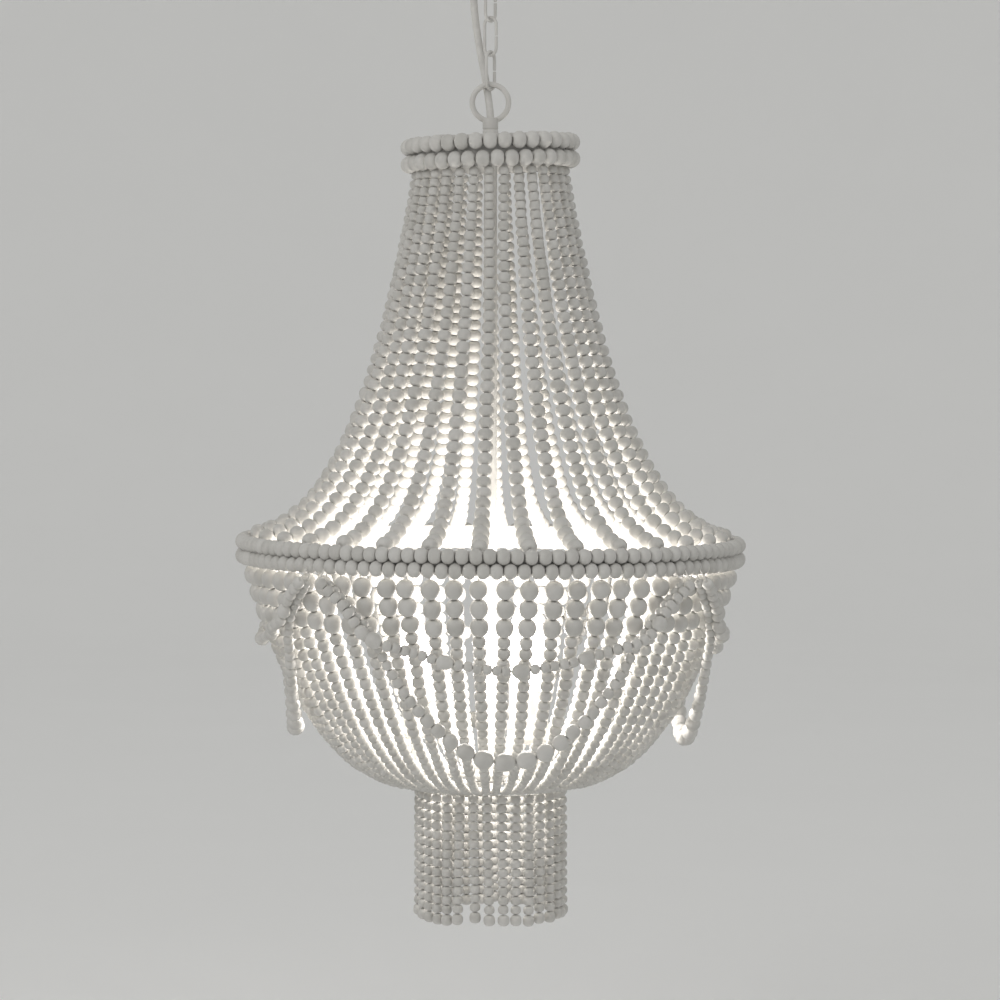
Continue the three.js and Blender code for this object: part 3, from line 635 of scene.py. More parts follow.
def beadRow(name, ring, height, phase, node, slope):
    turns = 2 * math.pi * (np.arange(ring["count"]) + phase) / ring["count"]
    middles = np.array([onRing(t, ring["rowRadius"], height) for t in turns])
    ways = np.array([outward(t + math.pi / 2) for t in turns])
    pitch = 2 * ring["rowRadius"] * math.sin(math.pi / ring["count"])
    widths, spans = np.full(len(turns), ring["bead"]), np.full(len(turns), pitch * rowFill)
    around = np.linspace(0, 2 * math.pi, 2 * ring["count"] + 1)
    line = np.array([onRing(t, ring["rowRadius"], height) for t in around])
    beads = (tilted(middles, slope), ways, widths, spans)
    return beadPiece(name, [beads], [tilted(line, slope)], "chandelier", node)


for name, ring in (("crown", crown), ("main", mainRing)):
    for label, phase, raised in zip(("upper", "lower"), (0.0, 0.5), ring["raised"]):
        node = f"{name}_beads_{label}"
        beadRow(f"{name}Row_{label}", ring, middleOf(node) + raised, phase, node, lean[name])
print("rows threaded")


# Strands of the tent and the basket. A row of sizes is the share of the strand where it starts, a bead's
# width and its length. The sway is how far a strand strays from its curve.
quarters = 4
firstTurn = math.radians(-2.3)
unevenTurn = 0.0035
lacing = 0.003
tent = {
    "strands": 32,
    "slack": 1.05,
    "topRadius": 0.07201,
    "topDrop": 0.0004,
    "outside": 0.0008,
    "sunk": 0.0014,
    "sizes": (
        (0, 0.0104, 0.0086), (0.12, 0.0116, 0.0096), (0.22, 0.0128, 0.0106),
        (0.36, 0.0138, 0.0114), (0.5, 0.0149, 0.0124), (0.85, 0.0168, 0.0140),
    ),
    "sway": 0.0012,
    "twist": 0.026,
}
basket = {
    "strands": 64,
    "slack": 1.07,
    "footRise": 0.0012,
    "outside": 0.0025,
    "topDrop": lacing * 1.5,
    "sizes": (
        (0, 0.0074, 0.0060), (0.08, 0.0086, 0.0070), (0.2, 0.0104, 0.0086),
        (0.42, 0.0124, 0.0103), (0.6, 0.0132, 0.0110), (0.764, 0.0180, 0.0180),
    ),
    "sway": 0.001,
    "twist": 0.0,
}
mainBand = {"middle": 0.2359, "half": 0.001, "lowered": 0.003, "edge": 0.0005}
bottomRing = {"wire": 0.005, "gap": 0.0001}
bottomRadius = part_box("bottom_ring")[1].x - bottomRing["wire"] / 2
bottomHeight = middleOf("bottom_ring")
mainFoot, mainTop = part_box("main_band")[0].z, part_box("main_band")[1].z

tentCurve = hangingCurve(
    (tent["topRadius"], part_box("crown_frame")[0].z - tent["topDrop"]),
    (mainBand["middle"] + tent["outside"], mainTop - tent["sunk"]),
    tent["slack"],
)
basketCurve = hangingCurve(
    (bottomRadius + basket["outside"], bottomHeight + basket["footRise"]),
    (mainBand["middle"], mainFoot - basket["topDrop"]),
    basket["slack"],
)


def swayed(path, turn, amount, waveShare=0.6):
    share = np.linspace(0, 1, len(path))[:, None]
    around = outward(turn + math.pi / 2)[None]
    bow, wave = draw.normal(0, amount, 2)
    return path + around * (np.sin(math.pi * share) * bow + np.sin(2 * math.pi * share) * wave * waveShare)


def withEnds(path, reach):
    first = path[0] + unit(path[0] - path[1]) * reach
    last = path[-1] + unit(path[-1] - path[-2]) * reach
    return np.vstack([first, path, last])


# The leans are those of the curtain's first end and of its last. Each fades towards the other end.
def addCurtain(name, curve, group, node, firstLean, lastLean, fade=1.5):
    share = np.linspace(0, 1, len(curve))
    slope = firstLean * (1 - share) ** fade + lastLean * share**fade
    each = group["strands"] // quarters
    for quarter in range(quarters):
        beads, threads = [], []
        for n in range(each):
            turn = firstTurn + 2 * math.pi * (quarter * each + n) / group["strands"]
            turn += draw.normal(0, unevenTurn)
            path = tilted(aroundAxis(curve, turn, group["twist"]), slope)
            path = swayed(path, turn, group["sway"])
            beads.append(threadBeads(path, group["sizes"]))
            threads.append(evenly(withEnds(path, lacing * 0.8), 25))
        beadPiece(f"{name}_{quarter + 1}", beads, threads, "chandelier", f"{node}_{quarter + 1}")


addCurtain("tentBeads", tentCurve, tent, "tent_strands", lean["crown"], lean["main"])
addCurtain("basketBeads", basketCurve, basket, "basket_strands", 0.0, lean["main"])
print("tent and basket threaded")


# A straight strand of the tassel drifts sideways and outwards towards its foot. The lacing that ties a
# quarter's strands sags by the slack between the quarter's ends.
tassel = {
    "strands": 32,
    "beads": 14,
    "bead": 0.0104,
    "lastBead": 0.0114,
    "length": 0.1292,
    "uneven": 0.0013,
    "slack": 0.0015,
    "sway": 0.0009,
    "outwardShare": 0.5,
    "driftPower": 1.4,
    "fill": 0.98,
    "lacingDrop": 0.001,
}


def addTassel(quarter, top):
    each = tassel["strands"] // quarters
    share = np.linspace(0, 1, 21)
    beads, threads, knots = [], [], []
    for n in range(each):
        turn = firstTurn + 2 * math.pi * (quarter * each + n) / tassel["strands"]
        hung = top - tassel["slack"] * math.sin(math.pi * n / (each - 1))
        length = tassel["length"] - abs(draw.normal(0, tassel["uneven"]))
        sideways, apart = draw.normal(0, tassel["sway"], 2)
        drift = outward(turn + math.pi / 2) * sideways + outward(turn) * abs(apart) * tassel["outwardShare"]
        path = onRing(turn, bottomRadius, hung) - np.outer(share * length, (0, 0, 1))
        path = path + np.outer(share ** tassel["driftPower"], drift)
        widths = np.full(tassel["beads"], tassel["bead"])
        widths[-1] = tassel["lastBead"]
        spans = widths.copy()
        spans[:-1] = (length - widths[-1]) / (tassel["beads"] - 1)
        places = np.cumsum(spans) - spans / 2
        beads.append(atPlaces(path, places, widths, spans * tassel["fill"]))
        threads.append(evenly(path, 12)[:-1])
        knots.append(onRing(turn, bottomRadius, hung - tassel["lacingDrop"]))
    threads.append(evenly(np.array(knots), 30))
    number = quarter + 1
    beadPiece(f"tasselBeads_{number}", beads, threads, f"tassel_{number}", f"tassel_strands_{number}")


for quarter in range(quarters):
    addTassel(quarter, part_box("tassel_strands_1")[1].z)
print("tassel threaded")


# Four pairs of swags. Shorter has how much less each pair hangs than the front one. Strands has the width
# of the basket's strands by the share of the way up from their foot.
swags = {
    "turn": math.radians(4.5),
    "inset": math.radians(2.6),
    "shorter": (0, 0.003, 0, 0.013),
    "bead": 0.0094,
    "gap": 0.0006,
    "start": 0.009,
    "firstBead": 0.001,
    "hookDrop": 0.0002,
    "overDeep": 0.0093,
    "shared": (0.5, 0.68),
    "strands": ((0, 0.0064), (0.1, 0.008), (0.4, 0.011), (0.74, 0.013), (0.82, 0.0168), (1, 0.017)),
}
# A swag's drops and widths are shares of its own, from the post to its middle. An accent's numbers are its
# share of the half width, its width and its length.
shallow = {
    "drop": 0.0806,
    "hookReach": 0.2504,
    "drops": (0, 0.3, 0.6, 0.76, 0.9, 1),
    "widths": (1, 0.863, 0.766, 0.588, 0.366, 0),
    "accents": (
        (-0.78, 0.0136, 0.0150), (-0.717, 0.0154, 0.0176), (-0.36, 0.0142, 0.0172),
        (0.07, 0.0148, 0.0180), (0.45, 0.0134, 0.0166), (0.817, 0.0140, 0.0156),
    ),
    "small": (0.0100, 0.0112),
    "growth": (0.42, 0.56),
    "pitch": 0.86,
}
deep = {
    "drop": 0.1684,
    "hookReach": 0.2462,
    "drops": (0, 0.143, 0.28, 0.52, 0.69, 0.85, 0.96, 1),
    "widths": (1, 0.873, 0.766, 0.656, 0.549, 0.395, 0.22, 0),
    "reach": 0.192,
    "power": 1.5,
    "sizes": (
        (0, 0.0092), (0.35, 0.0096), (0.6, 0.0108), (0.78, 0.0126),
        (0.86, 0.0142), (0.95, 0.0162), (1, 0.0178),
    ),
    "pitches": ((0, 0.86), (0.6, 0.96), (1, 1.14)),
    "ahead": 0.005,
}
hookTops = {kind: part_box(f"{kind}_swag_1")[1].z - swags["hookDrop"] for kind in ("shallow", "deep")}
swagTop = hookTops["deep"] - swags["start"]


def swagShape(swag):
    half = [(-w, d, 0) for w, d in zip(swag["widths"], swag["drops"])]
    other = [(-x, y, z) for x, y, z in half[-2::-1]]
    return evenly(catmull(half + other, 400), 161)[:, :2]


# How far from the axis a bead of this width lies, where it rests on the basket.
def restRadius(height, width):
    radii, heights = basketCurve.T
    radius = np.interp(height, heights, radii)
    share = np.interp(height, heights, np.linspace(0, 1, len(heights)))
    strand = np.interp(share, *zip(*swags["strands"]))
    slope = np.interp(height, heights, np.gradient(radii, heights))
    return radius + (strand / 2 + width / 2 + swags["gap"]) * np.sqrt(1 + slope**2)


hangTop = restRadius(mainFoot - swags["bead"] * 2, swags["bead"])


def hungRadius(fallen):
    return hangTop + (deep["reach"] - hangTop) * fallen ** deep["power"]


# The deep swag hangs free or rests on the basket. The shallow one lies on the deep one where they share the
# posts, and on the basket elsewhere. Fallen is the share of the deep swag's drop.
def reachOf(kind, height, share, fallen):
    if kind == "deep":
        width = np.interp(fallen, *zip(*deep["sizes"]))
        return max(hungRadius(fallen), restRadius(height, width))
    small, over = swags["bead"], swags["overDeep"]
    under = np.interp(abs(share), swags["shared"], (0, 1))
    under = under * under * (3 - 2 * under)
    alone = restRadius(height, small)
    outside = max(hungRadius(fallen) + (over + small) / 2, restRadius(height, small + 2 * over))
    return alone + (outside - alone) * under


def addSwag(kind, quarter, swag, beadsAlong):
    turn = swags["turn"] + quarter * math.pi / 2
    half = math.pi / quarters - swags["inset"]
    shorter = swags["shorter"][quarter]
    shape = swagShape(swag)
    heights = swagTop - shape[:, 1] * (swag["drop"] - shorter)
    fallen = (swagTop - heights) / (deep["drop"] - shorter)
    spots = zip(shape[:, 0], heights, fallen)
    path = [onRing(turn + x * half, reachOf(kind, height, x, share), height) for x, height, share in spots]
    hooks = [onRing(turn + side * half, swag["hookReach"], hookTops[kind]) for side in (-1, 1)]
    line = tilted(np.vstack([hooks[0], *path, hooks[1]]), lean["main"])
    beads = atPlaces(line, *beadsAlong(shape, lengths(line)))
    node = f"{kind}_swag_{quarter + 1}"
    beadPiece(f"{kind}SwagBeads_{quarter + 1}", [beads], [evenly(line, 90)], node, node)


# Small beads fill the spaces between the accents, evenly. They are larger towards the posts.
def shallowBeads(shape, total):
    first, last = total[1] - swags["firstBead"], total[-2] + swags["firstBead"]
    along, shares = total[1:-1], shape[:, 0]
    spots = [(np.interp(share, shares, along), width, long) for share, width, long in shallow["accents"]]
    places, widths, spans, reach = [], [], [], first
    for spot, width, long in [*spots, (last, 0.0, 0.0)]:
        free = spot - long / 2 - reach
        middle = abs(np.interp(reach + free / 2, along, shares))
        pitch = np.interp(middle, shallow["growth"], shallow["small"]) * shallow["pitch"]
        count = max(1, round(free / pitch))
        for i in range(count):
            place = reach + free * (i + 0.5) / count
            share = abs(np.interp(place, along, shares))
            places.append(place)
            widths.append(np.interp(share, shallow["growth"], shallow["small"]))
            spans.append(free / count)
        if width:
            places.append(spot)
            widths.append(width)
            spans.append(long)
        reach = spot + long / 2
    return places, widths, spans


# The largest bead hangs lowest, and pairs of smaller ones follow it up both sides.
def deepBeads(shape, total):
    drops = np.concatenate([[0], shape[:, 1], [0]])
    middle = total[-1] / 2
    end = middle - total[1] + swags["firstBead"]
    places, widths, spans, reach = [], [], [], 0.0
    while True:
        share = np.interp(middle - reach - deep["ahead"], total, drops) if places else 1.0
        width = np.interp(share, *zip(*deep["sizes"]))
        long = width * np.interp(share, *zip(*deep["pitches"]))
        if reach + long > end:
            break
        for side in (-1, 1) if places else (0,):
            places.append(middle + side * (reach + long / 2))
            widths.append(width)
            spans.append(long)
        reach += long if len(places) > 1 else long / 2
    return places, widths, spans


for quarter in range(quarters):
    addSwag("shallow", quarter, shallow, shallowBeads)
    addSwag("deep", quarter, deep, deepBeads)
print("swags threaded")


# The supply cable, from its grip to the hanging loop's collar. The lists are the shares of its drop, and
# of how far it stands to the side and to the back.
cable = {"diameter": 0.0072, "side": -0.017, "back": 0.008, "inGrip": 0.001, "edge": 0.0006}
cableDrops = (0, 0.034, 0.105, 0.22, 0.334, 0.434, 0.535, 0.62, 0.692, 0.757, 0.821, 0.878, 0.93, 1)
cableSides = (1, 1, 0.98, 0.906, 0.788, 0.659, 0.512, 0.376, 0.271, 0.188, 0.112, 0.053, 0.012, 0)
cableBacks = (1, 1, 1.037, 1.1, 1.162, 1.187, 1.162, 1.1, 1.03, 0.83, 0.53, 0.24, 0.05, 0)


def addCable():
    top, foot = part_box("supply_cable")[1].z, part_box("supply_cable")[0].z
    route = []
    for drop, side, back in zip(cableDrops, cableSides, cableBacks):
        route.append((cable["side"] * side, cable["back"] * back, top + (foot - top) * drop))
    route = evenly(catmull(route, 300), 36)
    route = np.vstack([route[0] + np.array([0, 0, cable["inGrip"]]), route])
    points, faces = tubeParts(route, cable["diameter"] / 2, 20, rounding=cable["edge"])
    piece = meshPiece("supplyCable", points, faces, [cableSkin])
    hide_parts("supply_cable")
    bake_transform(piece)


addCable()
print("cable placed")


# The radius of the holes that the stem's rod and the ceiling's nipple go through.
rodBore = 0.0053

# Each link is bent from one wire, and a slit is left where its ends meet.
chain = {
    "wire": 0.0032,
    "length": 0.040,
    "width": 0.018,
    "slit": 0.001,
    "edge": 0.0004,
    "turns": (50, -40, 58),
}


def addLink(number, turn):
    half = (chain["width"] - chain["wire"]) / 2
    straight = (chain["length"] - chain["wire"]) / 2 - half
    bend = np.linspace(0, math.pi, 25)
    over = [(half * math.cos(t), 0, straight + half * math.sin(t)) for t in bend]
    under = [(half * math.cos(t), 0, -straight + half * math.sin(t)) for t in bend + math.pi]
    path = np.array([(half, 0, chain["slit"] / 2), *over, *under, (half, 0, -chain["slit"] / 2)])
    path[:, 2] += middleOf(f"chain_link_{number}")
    path = turnedAbout(evenly(path, 90), math.radians(turn))
    wire = tubeParts(path, chain["wire"] / 2, 16, rounding=chain["edge"])
    addSteel(f"chainLink_{number}", [wire], f"chain_link_{number}", "chain")


for number, turn in enumerate(chain["turns"], 1):
    addLink(number, turn)


def wireRing(loop, height, turn=0.0, steps=72):
    around = 2 * math.pi * np.arange(steps) / steps
    radius = (loop["diameter"] - loop["wire"]) / 2
    path = np.stack([radius * np.cos(around), np.zeros(steps), height + radius * np.sin(around)], -1)
    return tubeParts(turnedAbout(path, turn), loop["wire"] / 2, 20, closed=True)


ceilingLoop = {
    "diameter": 0.026,
    "wire": 0.005,
    "turn": math.radians(120),
    "neck": 0.0074,
    "height": 0.009,
    "boreDepth": 0.006,
    "edge": 0.0008,
}
# The hanging loop's collar goes down behind the crown's beads, on to a hub that they hide.
hangingLoop = {
    "diameter": 0.041,
    "wire": 0.0054,
    "neck": 0.0077,
    "height": 0.012,
    "seat": 0.0003,
    "groove": (0.0062, 0.0068, 0.0078, 0.0084),
    "grooveDepth": 0.0006,
    "mouth": 0.0041,
    "mouthDepth": 0.006,
    "edge": 0.0006,
}
crownHub = {"radius": 0.013, "height": 0.013, "lowered": 0.0067, "edge": 0.001}
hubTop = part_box("crown_frame")[1].z - crownHub["lowered"]


def addCeilingLoop():
    low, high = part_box("ceiling_loop")
    neck, foot, top = ceilingLoop["neck"], high.z - ceilingLoop["height"], high.z
    end = top - ceilingLoop["boreDepth"]
    outline = [(0, foot), (neck, foot), (neck, top), (rodBore, top), (rodBore, end), (0, end)]
    collar = turnedParts(outline, 48, ceilingLoop["edge"])
    ring = wireRing(ceilingLoop, low.z + ceilingLoop["diameter"] / 2, ceilingLoop["turn"])
    addSteel("ceilingLoop", [collar, ring], "ceiling_loop", "ceiling_fitting")


def addHangingLoop():
    low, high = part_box("hanging_loop")
    foot, top = hubTop + hangingLoop["seat"], low.z + hangingLoop["height"]
    neck, mouth, end = hangingLoop["neck"], hangingLoop["mouth"], top - hangingLoop["mouthDepth"]
    sunk = neck - hangingLoop["grooveDepth"]
    groove = [(radius, foot + rise) for radius, rise in zip((neck, sunk, sunk, neck), hangingLoop["groove"])]
    outline = [(rodBore, foot), (neck, foot), *groove, (neck, top)]
    outline += [(mouth, top), (mouth, end), (rodBore, end)]
    collar = turnedParts(outline, 48, hangingLoop["edge"])
    ring = wireRing(hangingLoop, high.z - hangingLoop["diameter"] / 2)
    addSteel("hangingLoop", [collar, ring], "hanging_loop")


addCeilingLoop()
addHangingLoop()
print("chain and loops made")


canopy = {"radius": 0.060, "wall": 0.0012, "corner": 0.013, "lip": 0.0008, "rim": 0.002}


def addCanopy():
    low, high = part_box("ceiling_canopy")
    radius, wall, corner, lip = canopy["radius"], canopy["wall"], canopy["corner"], canopy["lip"]
    bend = np.linspace(-math.pi / 2, 0, 9)
    outer, inner = (
        [(radius - corner + size * math.cos(t), low.z + corner + size * math.sin(t)) for t in bend]
        for size in (corner, corner - wall)
    )
    rim = [(radius, high.z - canopy["rim"]), (radius, high.z - lip), (radius - lip / 2, high.z)]
    rim.append((radius - wall, high.z))
    outline = [(rodBore, low.z), *outer, *rim, *inner[::-1], (rodBore, low.z + wall)]
    addSteel("ceilingCanopy", [turnedParts(outline, 96)], "ceiling_canopy", "ceiling_fitting")


# The cable's grip: a flange, and ribs that grow narrower down to the tip. Ridge has the shares of a rib
# where its ridge ends, its groove starts and its groove ends.
grip = {
    "bore": 0.0051,
    "tip": 0.0063,
    "flange": 0.0042,
    "ribStart": 0.0046,
    "ribInset": 0.0006,
    "groove": 0.0007,
    "ribs": 6,
    "ridge": (0.6, 0.7, 0.95),
    "edge": 0.0003,
}


def addGrip():
    low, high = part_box("cable_grip")
    centre = middleOf("cable_grip", 0), middleOf("cable_grip", 1)
    radius, bore, tip = (high.x - low.x) / 2, grip["bore"], grip["tip"]
    widest, start = radius - grip["ribInset"], high.z - grip["ribStart"]
    step = (start - low.z) / grip["ribs"]
    outline = [(bore, high.z), (radius, high.z), (radius, high.z - grip["flange"])]
    for i in range(grip["ribs"]):
        width = widest + (tip - widest) * i / grip["ribs"]
        sunk, height = width - grip["groove"], start - step * i
        ends = [height - step * share for share in grip["ridge"]]
        outline += [(width, height), (width, ends[0]), (sunk, ends[1]), (sunk, ends[2])]
    outline += [(tip, low.z), (bore, low.z)]
    part = turnedParts(outline, 40, grip["edge"], centre)
    addPiece("cableGrip", [part], mouldedWhite, "ceiling_fitting", "cable_grip")


addCanopy()
addGrip()
print("canopy made")


# A hub's four flat spokes, for the crown and the bottom ring.
spoke = {"width": 0.009, "thickness": 0.003, "start": 0.009, "edge": 0.0006}


def spokes(turn, outer, height, slope=0.0):
    half, thick = spoke["width"] / 2, spoke["thickness"] / 2
    low, high = (spoke["start"], -half, height - thick), (outer, half, height + thick)
    bars = [barParts(low, high, spoke["edge"], turn + i * math.pi / 2) for i in range(4)]
    return [(tilted(points, slope), faces) for points, faces in bars]


# The outline of a round piece with a hole through it, such as a hub, the stem's tube or a band.
def sleeveOutline(bore, outer, foot, top):
    return [(bore, foot), (outer, foot), (outer, top), (bore, top)]


crownBand = {"wall": 0.002, "overBeads": 0.007, "edge": 0.0005, "spokeGap": 0.001}


def addCrownFrame():
    low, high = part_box("crown_frame")
    outer, top = high.x, middleOf("crown_beads_upper") + crownBand["overBeads"]
    foot = high.z - crownHub["height"]
    hub = turnedParts(sleeveOutline(rodBore, crownHub["radius"], foot, hubTop), 64, crownHub["edge"])
    outline = sleeveOutline(outer - crownBand["wall"], outer, low.z, top)
    points, faces = turnedParts(outline, 144, crownBand["edge"])
    band = (tilted(points, lean["crown"]), faces)
    middle = foot + crownHub["height"] / 2
    arms = spokes(math.pi / 4, outer - crownBand["spokeGap"], middle, lean["crown"])
    addSteel("crownFrame", [hub, band, *arms], "crown_frame")


def addSleeve(name, node, bore, segments, edge, lowered=0.0, slope=0.0):
    low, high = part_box(node)
    outline = sleeveOutline(bore, high.x, low.z, high.z - lowered)
    points, faces = turnedParts(outline, segments, edge)
    addSteel(name, [(tilted(points, slope), faces)], node)


def addBottomRing(steps=144):
    around = 2 * math.pi * np.arange(steps) / steps
    x, y = bottomRadius * np.cos(around), bottomRadius * np.sin(around)
    path = np.stack([x, y, np.full(steps, bottomHeight)], -1)
    ring = tubeParts(path, bottomRing["wire"] / 2 - bottomRing["gap"], 14, closed=True)
    top = bottomHeight + spoke["thickness"] / 2
    outline = sleeveOutline(rodBore, crownHub["radius"], top - spoke["thickness"], top)
    hub = turnedParts(outline, 48, spoke["edge"])
    addSteel("bottomRing", [ring, hub, *spokes(0, bottomRadius, bottomHeight)], "bottom_ring")


# The finial's outline: shares of its radius, and of its height from the top.
finial = {
    "radius": 0.010,
    "outline": ((1, 0), (1, 0.22), (0.84, 0.3), (0.98, 0.5), (0.92, 0.7), (0.7, 1)),
    "edge": 0.0005,
}


def addFinial():
    low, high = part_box("finial_nut")
    height = high.z - low.z
    outline = [(finial["radius"] * r, high.z - height * z) for r, z in finial["outline"]]
    outline = [(rodBore, high.z), *outline, (rodBore, high.z - height)]
    addSteel("finialNut", [turnedParts(outline, 48, finial["edge"])], "finial_nut")


addCrownFrame()
addSleeve("stemTube", "stem_tube", rodBore, segments=40, edge=0.0004)
mainBore = mainBand["middle"] - mainBand["half"]
addSleeve("mainBand", "main_band", mainBore, 256, mainBand["edge"], mainBand["lowered"], lean["main"])
addBottomRing()
addFinial()
print("frame made")


# The lamps. The hub's outline has shares of its radius and height, and the bulb's has shares of its height
# above the seat, with the radius there.
lamps = {
    "count": 3,
    "turn": 36,
    "reach": 0.075,
    "arm": 0.008,
    "armEdge": 0.0006,
    "inHub": 0.0008,
    "dip": 0.016,
    "power": 1.4,
    "color": (1.0, 0.965, 0.92),
    "glowRadius": 0.014,
}
lampHub = {
    "radius": 0.017,
    "outline": (
        (0.55, 0), (0.74, 0), (0.94, 0.14), (1, 0.28), (0.94, 0.4),
        (0.94, 0.6), (1, 0.72), (0.94, 0.86), (0.74, 1), (0.55, 1),
    ),
    "edge": 0.0008,
}
dripCup = {
    "outline": ((0.0132, 0), (0.0165, 0.0008), (0.0192, 0.0026), (0.0210, 0.0048), (0.022, 0.0070)),
    "wall": 0.0012,
    "thinner": 0.9,
    "edge": 0.0002,
}
candleSleeve = {"bore": 0.0105, "radius": 0.012, "lip": 0.0115, "lipHeight": 0.001, "edge": 0.0003}
bulb = {
    "seat": 0.0203,
    "middle": 0.42,
    "outline": (
        (0, 0.0068), (0.05, 0.0085), (0.12, 0.0112), (0.2, 0.0136), (0.3, 0.0161),
        (0.4, 0.0175), (0.5, 0.0169), (0.6, 0.0149), (0.7, 0.0119), (0.8, 0.0085),
        (0.88, 0.0058), (0.94, 0.0036), (0.98, 0.0018), (1, 0),
    ),
    "foot": ((0, 0), (0.0035, 0), (0.0045, 0.0015), (0.0062, 0.003)),
    "screw": {"turns": 7, "radius": 0.0064, "depth": 0.0003, "start": 0.003, "stop": 0.0002},
    "collar": (0.0066, 0.0001),
}


def addLampHub():
    low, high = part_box("lamp_hub")
    height = high.z - low.z
    outline = [(lampHub["radius"] * r, low.z + height * z) for r, z in lampHub["outline"]]
    outline = [(rodBore, low.z), *outline, (rodBore, high.z)]
    addSteel("lampHub", [turnedParts(outline, 72, lampHub["edge"])], "lamp_hub")


# An arm leaves the hub level, dips and turns up under its cup.
def addLampArm(number, turn):
    start, top = middleOf("lamp_hub"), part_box(f"lamp_arm_{number}")[1].z
    hub, reach = lampHub["radius"], lamps["reach"]
    a, b = np.array([hub - lamps["inHub"], start]), np.array([hub + reach / 2, start])
    c, d = np.array([reach, start - lamps["dip"]]), np.array([reach, top])
    t = np.linspace(0, 1, 41)[:, None]
    bend = (1 - t) ** 3 * a + 3 * (1 - t) ** 2 * t * b + 3 * (1 - t) * t**2 * c + t**3 * d
    path = bend[:, :1] * outward(turn)[None] + bend[:, 1:] * np.array([[0, 0, 1.0]])
    arm = tubeParts(path, lamps["arm"] / 2, 18, rounding=lamps["armEdge"])
    addSteel(f"lampArm_{number}", [arm], f"lamp_arm_{number}")


def addDripCup(number, centre):
    foot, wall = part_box(f"drip_cup_{number}")[0].z, dripCup["wall"]
    outer = [(r, foot + z) for r, z in dripCup["outline"]]
    inner = [(r - wall * dripCup["thinner"], z + wall) for r, z in outer[:-1]]
    inner.append((outer[-1][0] - wall * dripCup["thinner"], outer[-1][1]))
    outline = [(0, foot), *outer, *inner[::-1], (0, foot + wall)]
    addSteel(f"dripCup_{number}", [turnedParts(outline, 64, dripCup["edge"], centre)], f"drip_cup_{number}")


def addCandleSleeve(number, centre):
    node = f"candle_sleeve_{number}"
    low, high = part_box(node)
    bore, radius, lip = candleSleeve["bore"], candleSleeve["radius"], candleSleeve["lip"]
    outline = [(bore, low.z), (radius, low.z), (radius, high.z - candleSleeve["lipHeight"])]
    outline += [(lip, high.z), (bore, high.z)]
    part = turnedParts(outline, 48, candleSleeve["edge"], centre)
    addPiece(f"candleSleeve_{number}", [part], mouldedWhite, "chandelier", node)


# A bulb is its glass and a brass screw under it. It casts no shadow, so that the light inside it gets out.
def addBulb(number, centre):
    node, screw = f"bulb_{number}", bulb["screw"]
    low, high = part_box(node)
    seat = low.z + bulb["seat"]
    tall = high.z - seat
    middle = seat + tall * bulb["middle"]
    outline = catmull([(radius, seat + share * tall, 0) for share, radius in bulb["outline"]], 60)[:, :2]
    outline[-1, 0] = 0
    glass = turnedParts([(0, seat), *(tuple(p) for p in outline)], 48, 0, centre)
    threads, first = [], low.z + screw["start"]
    for share in np.arange(screw["turns"] * 4) / (screw["turns"] * 4):
        radius = screw["radius"] + screw["depth"] * math.cos(2 * math.pi * share * screw["turns"])
        threads.append((radius, first + (seat - screw["stop"] - first) * share))
    foot = [(radius, low.z + height) for radius, height in bulb["foot"]]
    collar, top = bulb["collar"][0], seat - bulb["collar"][1]
    base = turnedParts([*foot, *threads, (collar, top), (0, top)], 40, 0, centre)
    points, faces = joined([glass, base])
    paint = [0] * len(glass[1]) + [1] * len(base[1])
    finishes = [makeBulbGlass(f"bulbGlow_{number}", middle), lampBrass]
    piece = settle(meshPiece(f"litBulb_{number}", points, faces, finishes, paint), node, node)
    piece.visible_shadow = False

    glow = bpy.data.lights.new(f"bulbLight_{number}", "POINT")
    glow.energy = lamps["power"]
    glow.color = lamps["color"]
    glow.shadow_soft_size = lamps["glowRadius"]
    lamp = bpy.data.objects.new(f"bulbLight_{number}", glow)
    bpy.context.scene.collection.objects.link(lamp)
    lamp.location = (*centre, middle)
    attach(lamp, node)


addLampHub()
for n in range(lamps["count"]):
    turn = math.radians(lamps["turn"] + 360 * n / lamps["count"])
    centre = tuple((outward(turn) * lamps["reach"])[:2])
    addLampArm(n + 1, turn)
    addDripCup(n + 1, centre)
    addCandleSleeve(n + 1, centre)
    addBulb(n + 1, centre)
print("lamps made")


# Solids that stay as they are get their finish.
zincNodes = ("ceiling_bracket", "threaded_nipple", "bracket_locknut", "stem_rod")
plasticNodes = ("terminal_block", "lampholder_1", "lampholder_2", "lampholder_3")
for nodes, material in ((zincNodes, zincPlate), (plasticNodes, mouldedWhite)):
    for node in nodes:
        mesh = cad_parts[node].data
        mesh.materials.clear()
        mesh.materials.append(material)
print("kept solids painted")


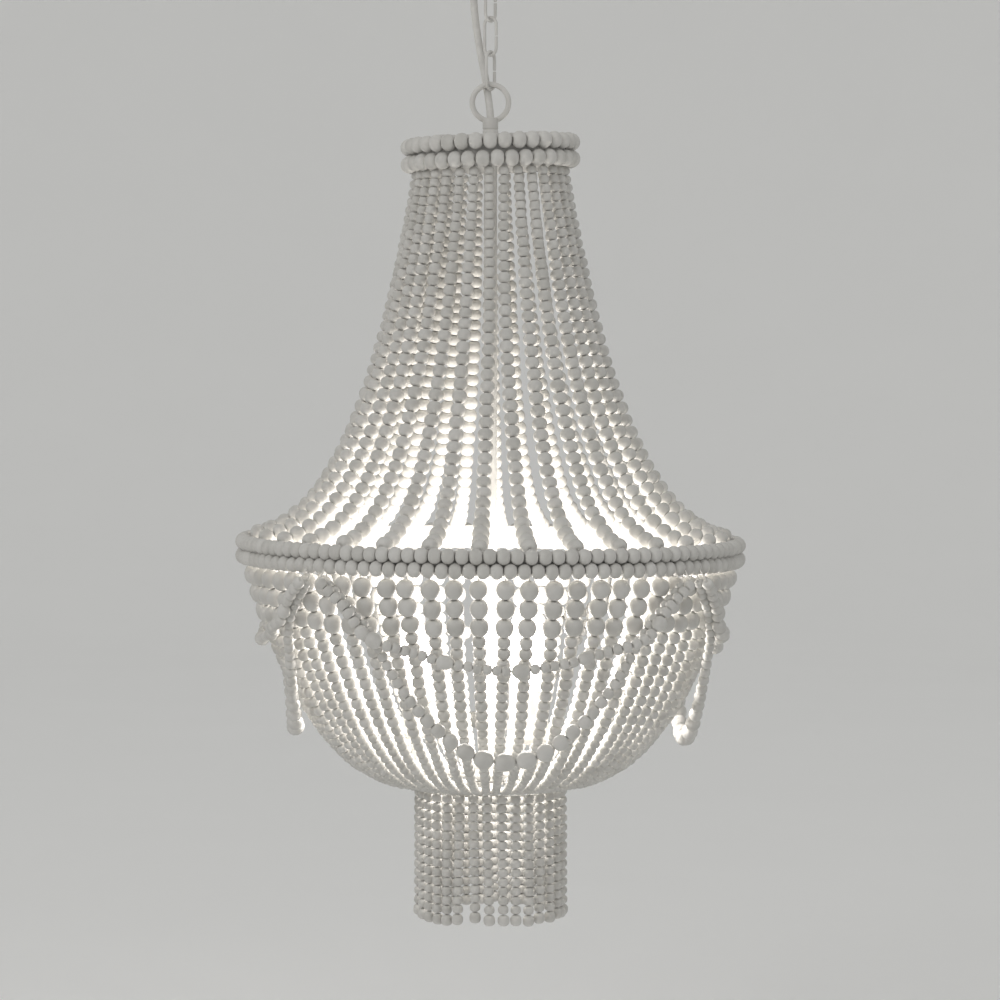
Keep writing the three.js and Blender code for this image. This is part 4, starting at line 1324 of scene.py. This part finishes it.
# A pale floor that sweeps up into a wall all round, even air, and one large soft lamp.
room = {
    "floorDrop": 0.22,
    "floorReach": 5.5,
    "sweep": 3.0,
    "wallHeight": 4.5,
    "thickness": 0.05,
    "dark": (0.89, 0.89, 0.885),
    "light": (0.91, 0.91, 0.905),
    "speckScale": 3,
    "air": (0.60, 0.60, 0.59),
    "airStrength": 0.97,
}
key = {
    "power": 18.0,
    "size": 1.6,
    "color": (1.0, 0.98, 0.95),
    "place": (-1.6, -2.6, 1.2),
    "aim": (0, 0, -0.55),
}


def makeFloorFinish():
    material, signal, shader = newMaterial("paleFloor")
    speck = noiseAt(signal, room["speckScale"])
    return finishMaterial(material, signal, shader, shadeOf(speck, room), 0.75 + speck * 0.1)


def addFloor():
    reach, sweep, thick = room["floorReach"], room["sweep"], room["thickness"]
    base = cadLow.z - room["floorDrop"]
    inside = [(0, base), (reach, base)]
    for t in np.linspace(0, math.pi / 2, 16):
        inside.append((reach + sweep * math.sin(t), base + sweep * (1 - math.cos(t))))
    inside.append((reach + sweep, base + room["wallHeight"]))
    back = [(r + thick, h - thick) for r, h in inside[1:]]
    points, faces = turnedParts([*inside, *back[::-1], (0, base - thick)], 128)
    meshPiece("studioFloor", points, faces, [makeFloorFinish()])


def addLight():
    world = bpy.data.worlds.new("studioAir")
    bpy.context.scene.world = world
    world.use_nodes = True
    sky = world.node_tree.nodes["Background"]
    sky.inputs["Color"].default_value = rgba(room["air"])
    sky.inputs["Strength"].default_value = room["airStrength"]

    light = bpy.data.lights.new("softKey", "AREA")
    light.shape = "DISK"
    light.size = key["size"]
    light.energy = key["power"]
    light.color = key["color"]
    lamp = bpy.data.objects.new("softKey", light)
    bpy.context.scene.collection.objects.link(lamp)
    lamp.location = key["place"]
    x, y, z = np.array(key["aim"]) - np.array(lamp.location)
    lamp.rotation_euler = (math.acos(-z / math.hypot(x, y, z)), 0, math.atan2(y, x) - math.pi / 2)


addFloor()
addLight()
bpy.context.scene.view_settings.view_transform = "Standard"
print("room lit")
